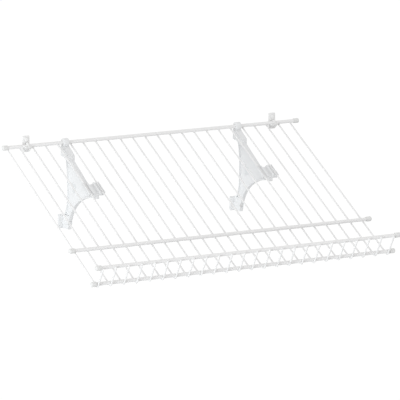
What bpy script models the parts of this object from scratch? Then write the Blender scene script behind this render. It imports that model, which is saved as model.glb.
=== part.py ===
"""A sloping ventilated wire shoe shelf with a turned-up lip, hung on a wall.

Metres, +Z up, +X to the right of the shelf, and the wall is the plane Y = 0 behind it.
The rear rod's axis runs along X at Z = 0. Two brackets hook over that rod and carry the
deck on their saddles, two wall clips hold the rod back, and the deck tips up about it.
"""
from math import acos, asin, cos, pi, radians, sin

import bmesh
import bpy
from mathutils import Euler, Matrix, Vector

MM = 0.001

# Clearances
SEAT_GAP = 0.3 * MM
RUNNING_GAP = 0.05 * MM

# Wires and rods
WIRE_COUNT = 24
WIRE_PITCH = 25.4 * MM
WIRE_DIAMETER = 3.0 * MM
ROD_DIAMETER = 6.6 * MM
WIRE_TAIL = 2.6 * MM
WIRE_TOP = 2.5 * MM

# Deck and lip, measured between rod axes
DECK_TILT = radians(27.46)
DECK_DEPTH = 397.0 * MM
MIDDLE_ROD_PLACE = 302.6 * MM
LIP_HEIGHT = 37.3 * MM
LIP_LEAN = radians(2.54)
OVERHANG_LEFT = 12.7 * MM
OVERHANG_RIGHT = 16.0 * MM
WALL_TO_ROD = 6.5 * MM

# End caps
CAP_LENGTH = 10.9 * MM
CAP_WALL = 1.0 * MM
CAP_END_WALL = 2.0 * MM
CAP_DOME = 2.2 * MM
CAP_MOUTH_CHAMFER = 0.5 * MM

# Bracket: where it stands, and its half widths along X
BRACKET_BAY = 5
HOOK_HALF_WIDTH = 5.2 * MM
HEAD_HALF_WIDTH = 6.5 * MM
FLANGE_HALF_WIDTH = 3.8 * MM
WEB_HALF_WIDTH = 1.1 * MM
BASE_HALF_WIDTH = 4.5 * MM

# Bracket hook round the rear rod, with the slot it is pressed on through
HOOK_WALL = 4.3 * MM
HOOK_BACK_CLEARANCE = 0.4 * MM
HOOK_SLOT_BELOW = 3.0 * MM
HOOK_SLOT_ABOVE = 0.6 * MM

# Bracket head, below the hook
HEAD_TOP_DROP = 6.0 * MM
HEAD_FRONT = 25.8 * MM
HEAD_FRONT_TOP = 19.9 * MM
HEAD_FRONT_HEIGHT = 14.1 * MM
HEAD_BACK_HEIGHT = 18.6 * MM
HEAD_THROAT = 9.1 * MM
HEAD_BACK_CLEARANCE = 0.6 * MM
HEAD_CROWN = 3.0 * MM
HEAD_THROAT_DROP = 1.5 * MM

# Bracket arm and leg: an open web edged by flanges, solid at the leg's lower end
FLANGE_THICKNESS = 2.6 * MM
POCKET_TIP_HEIGHT = 0.8 * MM
SOLID_LEG_HEIGHT = 26.0 * MM
ARM_START = 30.7 * MM
ARM_START_DROP = 11.4 * MM
ARM_UNDER_SADDLE = 22.0 * MM
ARM_END_DROP = 17.9 * MM
ARM_TIP_HEIGHT = 3.6 * MM
BRACKET_DROP = 158.5 * MM
LEG_DEPTH = 22.1 * MM
LEG_END_RISE = 0.4 * MM
LEG_BOW_DEPTH = 20.0 * MM
LEG_BOW_REACH = 13.0 * MM
NECK_BACK = 12.5 * MM
NECK_TOP = 24.0 * MM

# Pulls on the hollow curve from the arm's tip to the foot
SWEEP_ARM_REACH = 60.0 * MM
SWEEP_ARM_FALL = 9.5 * MM
SWEEP_LEG_RISE = 38.5 * MM
SWEEP_LEG_LEAN = 6.5 * MM

# Bracket foot
PAD_WIDTH = 26.0 * MM
PAD_HEIGHT = 26.0 * MM
PAD_THICKNESS = 3.5 * MM
SCREW_RISE = 12.5 * MM
BOSS_DIAMETER = 10.4 * MM
BOSS_LENGTH = 24.0 * MM
COUNTERBORE_DEPTH = 3.0 * MM

# Bracket saddle under two wires, in the deck's own directions
SADDLE_START = 116.0 * MM
SADDLE_LENGTH = 31.0 * MM
SADDLE_DEPTH = 5.6 * MM
SADDLE_SHOULDER_DEPTH = 4.1 * MM
SADDLE_TROUGH_DEPTH = 3.0 * MM
SADDLE_TROUGH_HALF = 3.4 * MM
SADDLE_RIDGE_INNER = 4.6 * MM
SADDLE_RIDGE_WIDTH = 3.4 * MM
SADDLE_RIDGE_HEIGHT = 1.4 * MM
SADDLE_CHAMFER = 0.4 * MM
SADDLE_NOTCH_WIDTH = 0.8 * MM
SADDLE_NOTCH_DEPTH = 1.2 * MM
SADDLE_JAW = 1.9 * MM
SADDLE_MARGIN = 3.3 * MM
SADDLE_CATCH_HEIGHT = 2.3 * MM
GROOVE_WRAP = radians(20)
BASE_NOSE = 4.3 * MM
BASE_NOSE_DROP = 9.4 * MM
BASE_HEEL = 10.0 * MM
BASE_HEEL_DROP = 14.9 * MM

# Shallow recess in each side of the bracket's web, its rise from the foot, and a pit at each end of it
RECESS_CENTRE_FORWARD = 38.0 * MM
RECESS_CENTRE_RISE = 80.9 * MM
RECESS_LENGTH = 14.0 * MM
RECESS_HEIGHT = 15.5 * MM
RECESS_DEPTH = 0.4 * MM
PIT_DIAMETER = 3.0 * MM
PIT_DEPTH = 0.8 * MM
PIT_INSET = 3.4 * MM
PIT_SPACING = 18.0 * MM

# Screw through the bracket's foot
SCREW_DIAMETER = 4.0 * MM
SCREW_HEAD_DIAMETER = 7.4 * MM
SCREW_HEAD_HEIGHT = 2.4 * MM
SCREW_HEAD_CLEARANCE = 0.5 * MM
SCREW_CROWN = ((0.5, 0.95), (0.85, 0.75), (1.0, 0.4))
SCREW_SLOT_LENGTH = 4.4 * MM
SCREW_SLOT_WIDTH = 0.9 * MM
SCREW_SLOT_DEPTH = 1.3 * MM

# Wall clip round the rear rod
CLIP_BAY = 2
CLIP_HALF_WIDTH = 6.65 * MM
CLIP_PLATE = 2.5 * MM
CLIP_RISE = 17.9 * MM
CLIP_DROP = 11.6 * MM
CLIP_WALL = 3.65 * MM
CLIP_LIP_DROP = 0.6 * MM
CLIP_LIP_HEIGHT = 1.2 * MM
CLIP_TOE_RISE = 2.4 * MM
CLIP_TAPER = 1.8 * MM
CLIP_CORNER = 1.0 * MM
TONGUE_HALF_WIDTH = 2.0 * MM
TONGUE_THICKNESS = 2.2 * MM
TONGUE_GAP = 0.5 * MM

# Pin through the wall clip
PIN_RISE = 11.0 * MM
PIN_DIAMETER = 3.2 * MM
PIN_HEAD_DIAMETER = 8.0 * MM
PIN_HEAD_HEIGHT = 1.8 * MM
PIN_CROWN = ((0.7, 1.0), (1.0, 0.6))

# Fineness of the round surfaces
ROD_SIDES = 24
BORE_SIDES = 32
BOSS_SIDES = 24
CAP_STEPS = 20
DOME_STEPS = 4
PIT_SIDES = 12
BEND_STEPS = 8
CURVE_STEPS = 16

# Sizes worked out from those above
WIRE_RADIUS = WIRE_DIAMETER / 2
ROD_RADIUS = ROD_DIAMETER / 2
CAP_SOCKET_RADIUS = ROD_RADIUS + SEAT_GAP
CAP_RADIUS = CAP_SOCKET_RADIUS + CAP_WALL
WIRE_OFFSET = ROD_RADIUS + WIRE_RADIUS + SEAT_GAP
BORE_RADIUS = (ROD_RADIUS + RUNNING_GAP) / cos(pi / BORE_SIDES)
SCREW_HOLE_RADIUS = SCREW_DIAMETER / 2 + SEAT_GAP
ARM_END = SADDLE_START + ARM_UNDER_SADDLE
COUNTERBORE_RADIUS = SCREW_HEAD_DIAMETER / 2 + SCREW_HEAD_CLEARANCE
PIN_HOLE_RADIUS = PIN_DIAMETER / 2 + SEAT_GAP
FIRST_WIRE_X = -WIRE_PITCH * (WIRE_COUNT - 1) / 2
LEFT_TIP_X = FIRST_WIRE_X - OVERHANG_LEFT
RIGHT_TIP_X = -FIRST_WIRE_X + OVERHANG_RIGHT

# Turns that stand a flat outline up: along the shelf's side, or across the deck
SIDE_VIEW = Euler((pi / 2, 0, pi / 2)).to_matrix().to_4x4()
END_VIEW = Euler((pi / 2, 0, 0)).to_matrix().to_4x4()
FACING_FORWARD = Euler((pi / 2, 0, 0))


def clear_scene():
    for obj in list(bpy.data.objects):
        bpy.data.objects.remove(obj, do_unlink=True)


def new_collection(name):
    collection = bpy.data.collections.new(name)
    bpy.context.scene.collection.children.link(collection)
    return collection


def new_material(name, colour, roughness):
    material = bpy.data.materials.new(name)
    material.use_nodes = True
    shader = material.node_tree.nodes["Principled BSDF"]
    shader.inputs["Base Color"].default_value = (*colour, 1.0)
    shader.inputs["Roughness"].default_value = roughness
    shader.inputs["Metallic"].default_value = 0.0
    return material


def evaluated_mesh(obj):
    """The object's mesh with its modifiers applied, in its own axes."""
    graph = bpy.context.evaluated_depsgraph_get()
    return bpy.data.meshes.new_from_object(obj.evaluated_get(graph))


def weld(mesh):
    """Close the seams that separate caps leave, and turn every face out."""
    shape = bmesh.new()
    shape.from_mesh(mesh)
    bmesh.ops.remove_doubles(shape, verts=shape.verts, dist=0.001 * MM)
    bmesh.ops.recalc_face_normals(shape, faces=shape.faces)
    shape.to_mesh(mesh)
    shape.free()


def workpiece(mesh):
    """A passing object that carries a mesh while it is joined or cut."""
    obj = bpy.data.objects.new("workpiece", mesh)
    obj.hide_render = True
    obj.display_type = 'WIRE'
    bpy.data.collections["cutters"].objects.link(obj)
    return obj


def plate(outline, half_width, turn=SIDE_VIEW):
    """A flat outline, thickened by half_width to each side and stood up."""
    curve = bpy.data.curves.new("outline", 'CURVE')
    curve.dimensions = '2D'
    curve.fill_mode = 'BOTH'
    curve.extrude = half_width
    spline = curve.splines.new('POLY')
    spline.points.add(len(outline) - 1)
    for point, (u, v) in zip(spline.points, outline):
        point.co = (u, v, 0.0, 1.0)
    spline.use_cyclic_u = True
    drawing = workpiece(curve)
    mesh = evaluated_mesh(drawing)
    bpy.data.objects.remove(drawing)
    mesh.transform(turn)
    weld(mesh)
    return workpiece(mesh)


def round_bar(radius, start, end, sides):
    """A cylinder between two points."""
    axis = Vector(end) - Vector(start)
    turn = axis.to_track_quat('Z', 'Y').to_matrix().to_4x4()
    place = Matrix.Translation((Vector(start) + Vector(end)) / 2) @ turn
    shape = bmesh.new()
    bmesh.ops.create_cone(shape, cap_ends=True, segments=sides, radius1=radius, radius2=radius,
                          depth=axis.length, matrix=place)
    mesh = bpy.data.meshes.new("round_bar")
    shape.to_mesh(mesh)
    shape.free()
    return workpiece(mesh)


def block(low, high):
    """A box between two corners."""
    centre = (Vector(low) + Vector(high)) / 2
    size = Vector(high) - Vector(low)
    shape = bmesh.new()
    bmesh.ops.create_cube(shape, size=1.0, matrix=Matrix.Translation(centre) @ Matrix.Diagonal((*size, 1.0)))
    mesh = bpy.data.meshes.new("block")
    shape.to_mesh(mesh)
    shape.free()
    return workpiece(mesh)


def turned(profile, steps):
    """A profile of (radius, height) points, top to bottom, turned about Z."""
    mesh = bpy.data.meshes.new("profile")
    edges = [(i, i + 1) for i in range(len(profile) - 1)]
    mesh.from_pydata([(radius, 0.0, height) for radius, height in profile], edges, [])
    obj = workpiece(mesh)
    screw = obj.modifiers.new("turn", 'SCREW')
    screw.steps = steps
    screw.render_steps = steps
    screw.use_merge_vertices = True
    screw.merge_threshold = 0.01 * MM
    solid = evaluated_mesh(obj)
    bpy.data.objects.remove(obj)
    weld(solid)
    return workpiece(solid)


def joined(solids, cuts=(), limits=()):
    """One mesh: the solids made one body, kept inside the limits, less the cuts."""
    body = solids[0]
    steps = [(other, 'UNION') for other in solids[1:]]
    steps += [(limit, 'INTERSECT') for limit in limits]
    steps += [(cut, 'DIFFERENCE') for cut in cuts]
    for tool, operation in steps:
        boolean = body.modifiers.new(operation.lower(), 'BOOLEAN')
        boolean.operation = operation
        boolean.solver = 'EXACT'
        boolean.object = tool
    mesh = evaluated_mesh(body)
    for obj in (*solids, *cuts, *limits):
        bpy.data.objects.remove(obj)
    weld(mesh)
    return mesh


def smooth(mesh):
    mesh.shade_smooth()
    mesh.set_sharp_from_angle(angle=radians(35))
    return mesh


def place_piece(name, data, material, location=(0, 0, 0), rotation=(0, 0, 0), parent=None):
    """One named piece of the object."""
    obj = bpy.data.objects.new(name, data)
    bpy.data.collections["shoe_rack"].objects.link(obj)
    if not data.materials:
        data.materials.append(None)
    obj.material_slots[0].link = 'OBJECT'
    obj.material_slots[0].material = material
    obj.location = location
    obj.rotation_euler = rotation
    obj.parent = parent
    return obj


def arc(centre, radius, start, end, steps):
    """Points along an arc, the angles taken from the first axis towards the second."""
    angles = [start + (end - start) * i / steps for i in range(steps + 1)]
    return [(centre[0] + radius * cos(a), centre[1] + radius * sin(a)) for a in angles]


def bezier(points, steps):
    """Points along a cubic curve, both ends included."""
    first, second, third, last = (Vector(point) for point in points)
    path = []
    for i in range(steps + 1):
        t = i / steps
        u = 1 - t
        place = first * u**3 + second * 3 * u**2 * t + third * 3 * u * t**2 + last * t**3
        path.append(tuple(place))
    return path


def offset_path(path, distance, closed=False):
    """The same path moved to its left by a distance, with mitred corners."""
    points = [Vector(point) for point in path]
    count = len(points)
    moved = []
    for i, point in enumerate(points):
        before = points[i - 1] if closed or i > 0 else None
        after = points[(i + 1) % count] if closed or i < count - 1 else None
        ways = []
        if before is not None:
            ways.append((point - before).normalized())
        if after is not None:
            ways.append((after - point).normalized())
        normals = [Vector((-way.y, way.x)) for way in ways]
        middle = sum(normals, Vector((0, 0))).normalized()
        moved.append(tuple(point + middle * (distance / middle.dot(normals[0]))))
    return moved


def shifted(solid, x):
    """The same workpiece moved along X."""
    solid.data.transform(Matrix.Translation((x, 0, 0)))
    return solid


def on_deck(along, above):
    """A side-view point, from its distance along the deck and above the plane of the rods."""
    return (-along * cos(DECK_TILT) - above * sin(DECK_TILT),
            -along * sin(DECK_TILT) + above * cos(DECK_TILT))


def bay_centre(bay):
    """Distance from the middle of the shelf to the gap after the wire of that number."""
    return WIRE_PITCH * (WIRE_COUNT / 2 - bay)


def wire_curve():
    """One wire: along under the rods, round the front rod and up outside the lip rod."""
    lip_way = Vector((-sin(LIP_LEAN), cos(LIP_LEAN)))
    outward = Vector((-cos(LIP_LEAN), -sin(LIP_LEAN)))
    front = Vector((-DECK_DEPTH, 0))
    bend = arc(front, WIRE_OFFSET, 3 * pi / 2, pi + LIP_LEAN, BEND_STEPS)
    top = front + outward * WIRE_OFFSET + lip_way * (LIP_HEIGHT + WIRE_TOP)
    path = [(WIRE_TAIL, -WIRE_OFFSET)] + bend + [tuple(top)]
    curve = bpy.data.curves.new("wire", 'CURVE')
    curve.dimensions = '3D'
    curve.bevel_depth = WIRE_RADIUS
    curve.bevel_resolution = 2
    curve.use_fill_caps = True
    spline = curve.splines.new('POLY')
    spline.points.add(len(path) - 1)
    for point, (y, z) in zip(spline.points, path):
        point.co = (0.0, y, z, 1.0)
    return curve


def rod_places():
    """Where each rod's axis stands in the deck's own axes, as (Y, Z)."""
    return {
        "rear": (0.0, 0.0),
        "middle": (-MIDDLE_ROD_PLACE, 0.0),
        "front": (-DECK_DEPTH, 0.0),
        "lip": (-DECK_DEPTH - LIP_HEIGHT * sin(LIP_LEAN), LIP_HEIGHT * cos(LIP_LEAN)),
    }


def cap_mesh():
    """A cap with a domed end up, bored to take a rod's end."""
    dome = [(CAP_RADIUS * sin(a), CAP_LENGTH - CAP_DOME * (1 - cos(a)))
            for a in (pi / 2 * i / DOME_STEPS for i in range(DOME_STEPS + 1))]
    mouth = [(CAP_RADIUS, CAP_MOUTH_CHAMFER), (CAP_RADIUS - CAP_MOUTH_CHAMFER, 0.0)]
    floor = CAP_LENGTH - CAP_END_WALL
    socket = [(CAP_SOCKET_RADIUS, 0.0), (CAP_SOCKET_RADIUS, floor), (0.0, floor)]
    return smooth(joined([turned(dome + mouth + socket, CAP_STEPS)]))


def rod_mesh(length):
    half = length / 2
    return smooth(joined([round_bar(ROD_RADIUS, (-half, 0, 0), (half, 0, 0), ROD_SIDES)]))


def build_shelf(coating, soft_plastic):
    """The wires, rods and caps, which tip up together about the rear rod."""
    hinge = bpy.data.objects.new("shelf_hinge", None)
    bpy.data.collections["shoe_rack"].objects.link(hinge)
    hinge.location = (0, -WALL_TO_ROD, 0)
    hinge.rotation_euler = (DECK_TILT, 0, 0)
    wire = wire_curve()
    for number in range(1, WIRE_COUNT + 1):
        x = FIRST_WIRE_X + WIRE_PITCH * (number - 1)
        place_piece(f"wire_{number:02d}", wire, coating, (x, 0, 0), parent=hinge)
    inset = CAP_END_WALL + SEAT_GAP
    rod = rod_mesh(RIGHT_TIP_X - LEFT_TIP_X - 2 * inset)
    rod_x = (LEFT_TIP_X + RIGHT_TIP_X) / 2
    cap = cap_mesh()
    for name, (y, z) in rod_places().items():
        place_piece(f"rod_{name}", rod, coating, (rod_x, y, z), parent=hinge)
        place_piece(f"cap_{name}_left", cap, soft_plastic, (LEFT_TIP_X + CAP_LENGTH, y, z),
                    (0, -pi / 2, 0), hinge)
        place_piece(f"cap_{name}_right", cap, soft_plastic, (RIGHT_TIP_X - CAP_LENGTH, y, z),
                    (0, pi / 2, 0), hinge)


def bracket_outline():
    """The arm and leg in side view: the straight top first, then round by the foot to the neck."""
    top = [on_deck(ARM_START, -ARM_START_DROP), on_deck(ARM_END, -ARM_END_DROP)]
    tip = on_deck(ARM_END, -ARM_END_DROP - ARM_TIP_HEIGHT)
    back = WALL_TO_ROD - PAD_THICKNESS / 2
    leg_end = -BRACKET_DROP + LEG_END_RISE
    toe = (WALL_TO_ROD - LEG_DEPTH, leg_end)
    heel = (back, leg_end)
    sweep = bezier((tip, (tip[0] + SWEEP_ARM_REACH, tip[1] - SWEEP_ARM_FALL),
                    (toe[0] - SWEEP_LEG_LEAN, toe[1] + SWEEP_LEG_RISE), toe), CURVE_STEPS)
    knee = (back, -BRACKET_DROP + PAD_HEIGHT)
    bow = WALL_TO_ROD - LEG_BOW_DEPTH
    neck = (WALL_TO_ROD - NECK_BACK, -NECK_TOP)
    waist = (bow, (knee[1] + neck[1]) / 2)
    lower_bow = bezier((knee, (bow, knee[1]), (bow, waist[1] - LEG_BOW_REACH), waist), CURVE_STEPS // 2)
    upper_bow = bezier((waist, (bow, waist[1] + LEG_BOW_REACH), (bow, neck[1] - LEG_BOW_REACH), neck),
                       CURVE_STEPS // 2)
    return top + sweep + [heel] + lower_bow + upper_bow[1:]


def above_level(path, level):
    """The part of an open path above a height, ended on that height where the path crosses it."""
    kept = []
    for before, point in zip(path[:1] + path, path):
        if (before[1] > level) != (point[1] > level):
            share = (level - before[1]) / (point[1] - before[1])
            kept.append((before[0] + (point[0] - before[0]) * share, level))
        if point[1] > level:
            kept.append(point)
    return kept


def pocket_outline():
    """The bracket's outline drawn in by its flanges, ended above the foot and where the arm is too thin."""
    inner = offset_path(bracket_outline(), FLANGE_THICKNESS, closed=True)
    start = Vector(inner[0])
    along = (Vector(inner[1]) - start).normalized()
    depths = [along.cross(Vector(point) - start) for point in inner]
    kept = [point for point, depth in zip(inner[2:], depths[2:]) if depth > POCKET_TIP_HEIGHT]
    tip = start + along * along.dot(Vector(kept[0]) - start)
    return [tuple(start), tuple(tip)] + above_level(kept, -BRACKET_DROP + SOLID_LEG_HEIGHT)


def hook_outline():
    """The hook's outline: a disc round the rod, cut flat just off the wall."""
    radius = BORE_RADIUS + HOOK_WALL
    flat = acos((WALL_TO_ROD - HOOK_BACK_CLEARANCE) / radius)
    return arc((0, 0), radius, flat, 2 * pi - flat, BORE_SIDES)


def head_outline():
    """The block below the hook, between the wall and the start of the arm."""
    back = WALL_TO_ROD - HEAD_BACK_CLEARANCE
    lower = -HEAD_TOP_DROP - HEAD_BACK_HEIGHT
    return [
        (back, -HEAD_TOP_DROP),
        (back, lower),
        (-HEAD_THROAT, lower - HEAD_THROAT_DROP),
        (-HEAD_FRONT, -HEAD_FRONT_TOP - HEAD_FRONT_HEIGHT),
        (-HEAD_FRONT, -HEAD_FRONT_TOP),
        (-HEAD_CROWN, -HEAD_TOP_DROP),
    ]


def base_outline():
    """The wedge that carries the saddle on the arm's end."""
    under = WIRE_OFFSET + SADDLE_DEPTH - FLANGE_THICKNESS / 2
    front = SADDLE_START + SADDLE_LENGTH
    return [
        on_deck(SADDLE_START, -under),
        on_deck(front - BASE_HEEL, -WIRE_OFFSET - BASE_HEEL_DROP),
        on_deck(front + BASE_NOSE, -WIRE_OFFSET - BASE_NOSE_DROP),
        on_deck(front, -under),
    ]


def saddle_outline():
    """The saddle's section across the deck, heights taken from the wires' centres."""
    groove = WIRE_PITCH / 2
    chamfer = SADDLE_CHAMFER
    jaw_top = SADDLE_RIDGE_HEIGHT - chamfer
    ridge = SADDLE_RIDGE_INNER + SADDLE_RIDGE_WIDTH
    notch = groove - SADDLE_JAW - WIRE_RADIUS
    edge = groove + SADDLE_MARGIN
    half = [(SADDLE_TROUGH_HALF, -SADDLE_TROUGH_DEPTH),
            (SADDLE_RIDGE_INNER, jaw_top),
            (SADDLE_RIDGE_INNER + chamfer, SADDLE_RIDGE_HEIGHT),
            (ridge - chamfer, SADDLE_RIDGE_HEIGHT),
            (ridge, jaw_top),
            (notch - SADDLE_NOTCH_WIDTH, -SADDLE_NOTCH_DEPTH),
            (notch, -SADDLE_NOTCH_DEPTH),
            (groove - SADDLE_JAW - chamfer, jaw_top)]
    half += arc((groove, 0), WIRE_RADIUS + SEAT_GAP, pi - GROOVE_WRAP, 2 * pi + GROOVE_WRAP, BEND_STEPS)
    half += [(groove + SADDLE_JAW, SADDLE_RIDGE_HEIGHT),
             (groove + SADDLE_JAW + chamfer, SADDLE_CATCH_HEIGHT),
             (edge - chamfer, SADDLE_CATCH_HEIGHT),
             (edge, SADDLE_CATCH_HEIGHT - chamfer),
             (edge, -SADDLE_SHOULDER_DEPTH),
             (edge - (SADDLE_DEPTH - SADDLE_SHOULDER_DEPTH), -SADDLE_DEPTH)]
    mirrored = [(-x, z) for x, z in reversed(half)]
    return mirrored + half


def saddle():
    """The saddle, standing in the deck's slope under the wires."""
    solid = plate(saddle_outline(), SADDLE_LENGTH / 2, END_VIEW)
    middle = Matrix.Translation((0, -SADDLE_START - SADDLE_LENGTH / 2, -WIRE_OFFSET))
    solid.data.transform(Matrix.Rotation(DECK_TILT, 4, 'X') @ middle)
    return solid


def screw_height():
    return -BRACKET_DROP + SCREW_RISE


def boss_front():
    return WALL_TO_ROD - BOSS_LENGTH


def foot():
    """The pad on the wall and the boss for its screw."""
    top = -BRACKET_DROP + PAD_HEIGHT
    pad = block((-PAD_WIDTH / 2, WALL_TO_ROD - PAD_THICKNESS, -BRACKET_DROP),
                (PAD_WIDTH / 2, WALL_TO_ROD, top))
    boss = round_bar(BOSS_DIAMETER / 2, (0, boss_front(), screw_height()),
                     (0, WALL_TO_ROD - PAD_THICKNESS / 2, screw_height()), BOSS_SIDES)
    return [pad, boss]


def foot_cuts():
    """The screw's hole through the foot and the counterbore for its head."""
    seat = boss_front() + COUNTERBORE_DEPTH
    hole = round_bar(SCREW_HOLE_RADIUS, (0, boss_front(), screw_height()),
                     (0, 2 * WALL_TO_ROD, screw_height()), BOSS_SIDES)
    counterbore = round_bar(COUNTERBORE_RADIUS, (0, 2 * boss_front(), screw_height()),
                            (0, seat, screw_height()), BOSS_SIDES)
    return [hole, counterbore]


def hook_cuts():
    """The rear rod's bore and the slot behind it."""
    reach = 2 * HEAD_HALF_WIDTH
    bore = round_bar(BORE_RADIUS, (-reach, 0, 0), (reach, 0, 0), BORE_SIDES)
    slot = block((-reach, ROD_RADIUS / 2, -HOOK_SLOT_BELOW), (reach, 2 * WALL_TO_ROD, HOOK_SLOT_ABOVE))
    return [bore, slot]


def recess_cuts():
    """The shallow recess in each side of the web, and the pits at its upper and lower ends."""
    y = -RECESS_CENTRE_FORWARD
    z = -BRACKET_DROP + RECESS_CENTRE_RISE
    pit_y = y + RECESS_LENGTH / 2 - PIT_INSET
    floor = WEB_HALF_WIDTH - RECESS_DEPTH
    pit_floor = WEB_HALF_WIDTH - PIT_DEPTH
    cuts = []
    for side in (-1, 1):
        x_low, x_high = sorted((side * floor, side * FLANGE_HALF_WIDTH))
        cuts.append(block((x_low, y - RECESS_LENGTH / 2, z - RECESS_HEIGHT / 2),
                          (x_high, y + RECESS_LENGTH / 2, z + RECESS_HEIGHT / 2)))
        for end in (-1, 1):
            centre = (pit_y, z + end * PIT_SPACING / 2)
            cuts.append(round_bar(PIT_DIAMETER / 2, (side * pit_floor, *centre),
                                  (side * FLANGE_HALF_WIDTH, *centre), PIT_SIDES))
    return cuts


def arm():
    """The arm and leg, with a pocket cut in each side down to the web."""
    body = plate(bracket_outline(), FLANGE_HALF_WIDTH)
    reach = WEB_HALF_WIDTH + FLANGE_HALF_WIDTH
    pockets = [shifted(plate(pocket_outline(), FLANGE_HALF_WIDTH), way * reach) for way in (-1, 1)]
    return workpiece(joined([body], pockets + recess_cuts()))


def bracket_mesh():
    """One bracket about the rear rod's axis."""
    solids = [
        arm(),
        plate(head_outline(), HEAD_HALF_WIDTH),
        plate(hook_outline(), HOOK_HALF_WIDTH),
        plate(base_outline(), BASE_HALF_WIDTH),
        saddle(),
        *foot(),
    ]
    return smooth(joined(solids, [*hook_cuts(), *foot_cuts()]))


def screw_mesh():
    """A pan-head screw, its head up and the underside of its head at the origin."""
    radius = SCREW_HEAD_DIAMETER / 2
    shank = SCREW_DIAMETER / 2
    length = BOSS_LENGTH - COUNTERBORE_DEPTH
    crown = [(radius * out, SCREW_HEAD_HEIGHT * up) for out, up in SCREW_CROWN]
    shaft = [(radius, SEAT_GAP), (shank, SEAT_GAP), (shank, SEAT_GAP - length), (0.0, SEAT_GAP - length)]
    head = turned([(0.0, SCREW_HEAD_HEIGHT)] + crown + shaft, BOSS_SIDES)
    half_length = SCREW_SLOT_LENGTH / 2
    half_width = SCREW_SLOT_WIDTH / 2
    floor = SCREW_HEAD_HEIGHT - SCREW_SLOT_DEPTH
    slots = [block((-half_length, -half_width, floor), (half_length, half_width, 2 * SCREW_HEAD_HEIGHT)),
             block((-half_width, -half_length, floor), (half_width, half_length, 2 * SCREW_HEAD_HEIGHT))]
    return smooth(joined([head], slots))


def clip_outline():
    """The clip in side view: a back plate, and a hook that the rear rod lies in."""
    front = WALL_TO_ROD - CLIP_PLATE
    lip = -BORE_RADIUS - CLIP_WALL
    return [
        (WALL_TO_ROD, -CLIP_DROP + CLIP_TOE_RISE),
        (WALL_TO_ROD, CLIP_RISE),
        (front, CLIP_RISE),
        (front, 0.0),
        (0.0, 0.0),
        (lip, -CLIP_LIP_DROP),
        (lip, -CLIP_LIP_DROP - CLIP_LIP_HEIGHT),
        (front - CLIP_TOE_RISE / 2, -CLIP_DROP),
        (front, -CLIP_DROP),
    ]


def clip_front_outline():
    """The clip in front view, narrower towards its lower end."""
    waist = -BORE_RADIUS - CLIP_LIP_HEIGHT
    end = CLIP_HALF_WIDTH - CLIP_TAPER
    shoulder = CLIP_RISE - CLIP_CORNER
    half = [(end, -CLIP_DROP), (CLIP_HALF_WIDTH, waist), (CLIP_HALF_WIDTH, shoulder),
            (CLIP_HALF_WIDTH - CLIP_CORNER, CLIP_RISE)]
    return half + [(-x, z) for x, z in reversed(half)]


def tongue_outline():
    """The springy tongue that curls from the clip's lip over the rod, clear of the plate."""
    outer = BORE_RADIUS + TONGUE_THICKNESS
    end = acos((WALL_TO_ROD - CLIP_PLATE - TONGUE_GAP) / outer)
    root = pi + asin((CLIP_LIP_DROP + CLIP_LIP_HEIGHT) / outer)
    steps = BORE_SIDES // 2
    return arc((0, 0), outer, root, end, steps) + arc((0, 0), ROD_RADIUS, end, root, steps)


def clip_mesh():
    """One wall clip about the rear rod's axis."""
    reach = 2 * CLIP_HALF_WIDTH
    solids = [plate(clip_outline(), CLIP_HALF_WIDTH), plate(tongue_outline(), TONGUE_HALF_WIDTH)]
    front = plate(clip_front_outline(), reach, END_VIEW)
    cuts = [round_bar(BORE_RADIUS, (-reach, 0, 0), (reach, 0, 0), BORE_SIDES),
            round_bar(PIN_HOLE_RADIUS, (0, 0, PIN_RISE), (0, 2 * WALL_TO_ROD, PIN_RISE), BOSS_SIDES)]
    return smooth(joined(solids, cuts, [front]))


def pin_mesh():
    """A round-headed pin, its head up and the underside of its head at the origin."""
    radius = PIN_HEAD_DIAMETER / 2
    shank = PIN_DIAMETER / 2
    crown = [(radius * out, PIN_HEAD_HEIGHT * up) for out, up in PIN_CROWN]
    shaft = [(radius, 0.0), (shank, 0.0), (shank, -CLIP_PLATE), (0.0, -CLIP_PLATE)]
    return smooth(joined([turned([(0.0, PIN_HEAD_HEIGHT)] + crown + shaft, BOSS_SIDES)]))


def build_wall_pieces(hard_plastic, coating):
    """Brackets and clips on the wall, with their screws and pins."""
    bracket = bracket_mesh()
    screw = screw_mesh()
    clip = clip_mesh()
    pin = pin_mesh()
    rod_y = -WALL_TO_ROD
    for side, way in (("left", -1), ("right", 1)):
        bracket_x = way * bay_centre(BRACKET_BAY)
        clip_x = way * bay_centre(CLIP_BAY)
        place_piece(f"bracket_{side}", bracket, hard_plastic, (bracket_x, rod_y, 0))
        seat = -BOSS_LENGTH + COUNTERBORE_DEPTH
        place_piece(f"screw_{side}", screw, coating, (bracket_x, seat, screw_height()), FACING_FORWARD)
        place_piece(f"clip_{side}", clip, hard_plastic, (clip_x, rod_y, 0))
        place_piece(f"pin_{side}", pin, hard_plastic, (clip_x, -CLIP_PLATE - SEAT_GAP, PIN_RISE),
                    FACING_FORWARD)


def main():
    clear_scene()
    new_collection("shoe_rack")
    new_collection("cutters")
    coating = new_material("white_coating", (0.86, 0.86, 0.85), 0.35)
    hard_plastic = new_material("white_hard_plastic", (0.84, 0.84, 0.84), 0.45)
    soft_plastic = new_material("white_soft_plastic", (0.86, 0.86, 0.86), 0.55)
    build_shelf(coating, soft_plastic)
    build_wall_pieces(hard_plastic, coating)


main()
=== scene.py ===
"""Looks of a sloping white wire shoe shelf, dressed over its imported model.

The 24 wires, four rods with their welds, eight end caps, two moulded brackets with their
screws and two wall clips with their pins are modelled here by hand in edit mode. Metres, +Z up.
"""
from math import acos, cos, pi, radians, sin

import bmesh
import bpy
from bpy.props import FloatProperty, FloatVectorProperty, IntProperty, PointerProperty
from mathutils import Matrix, Vector


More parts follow.
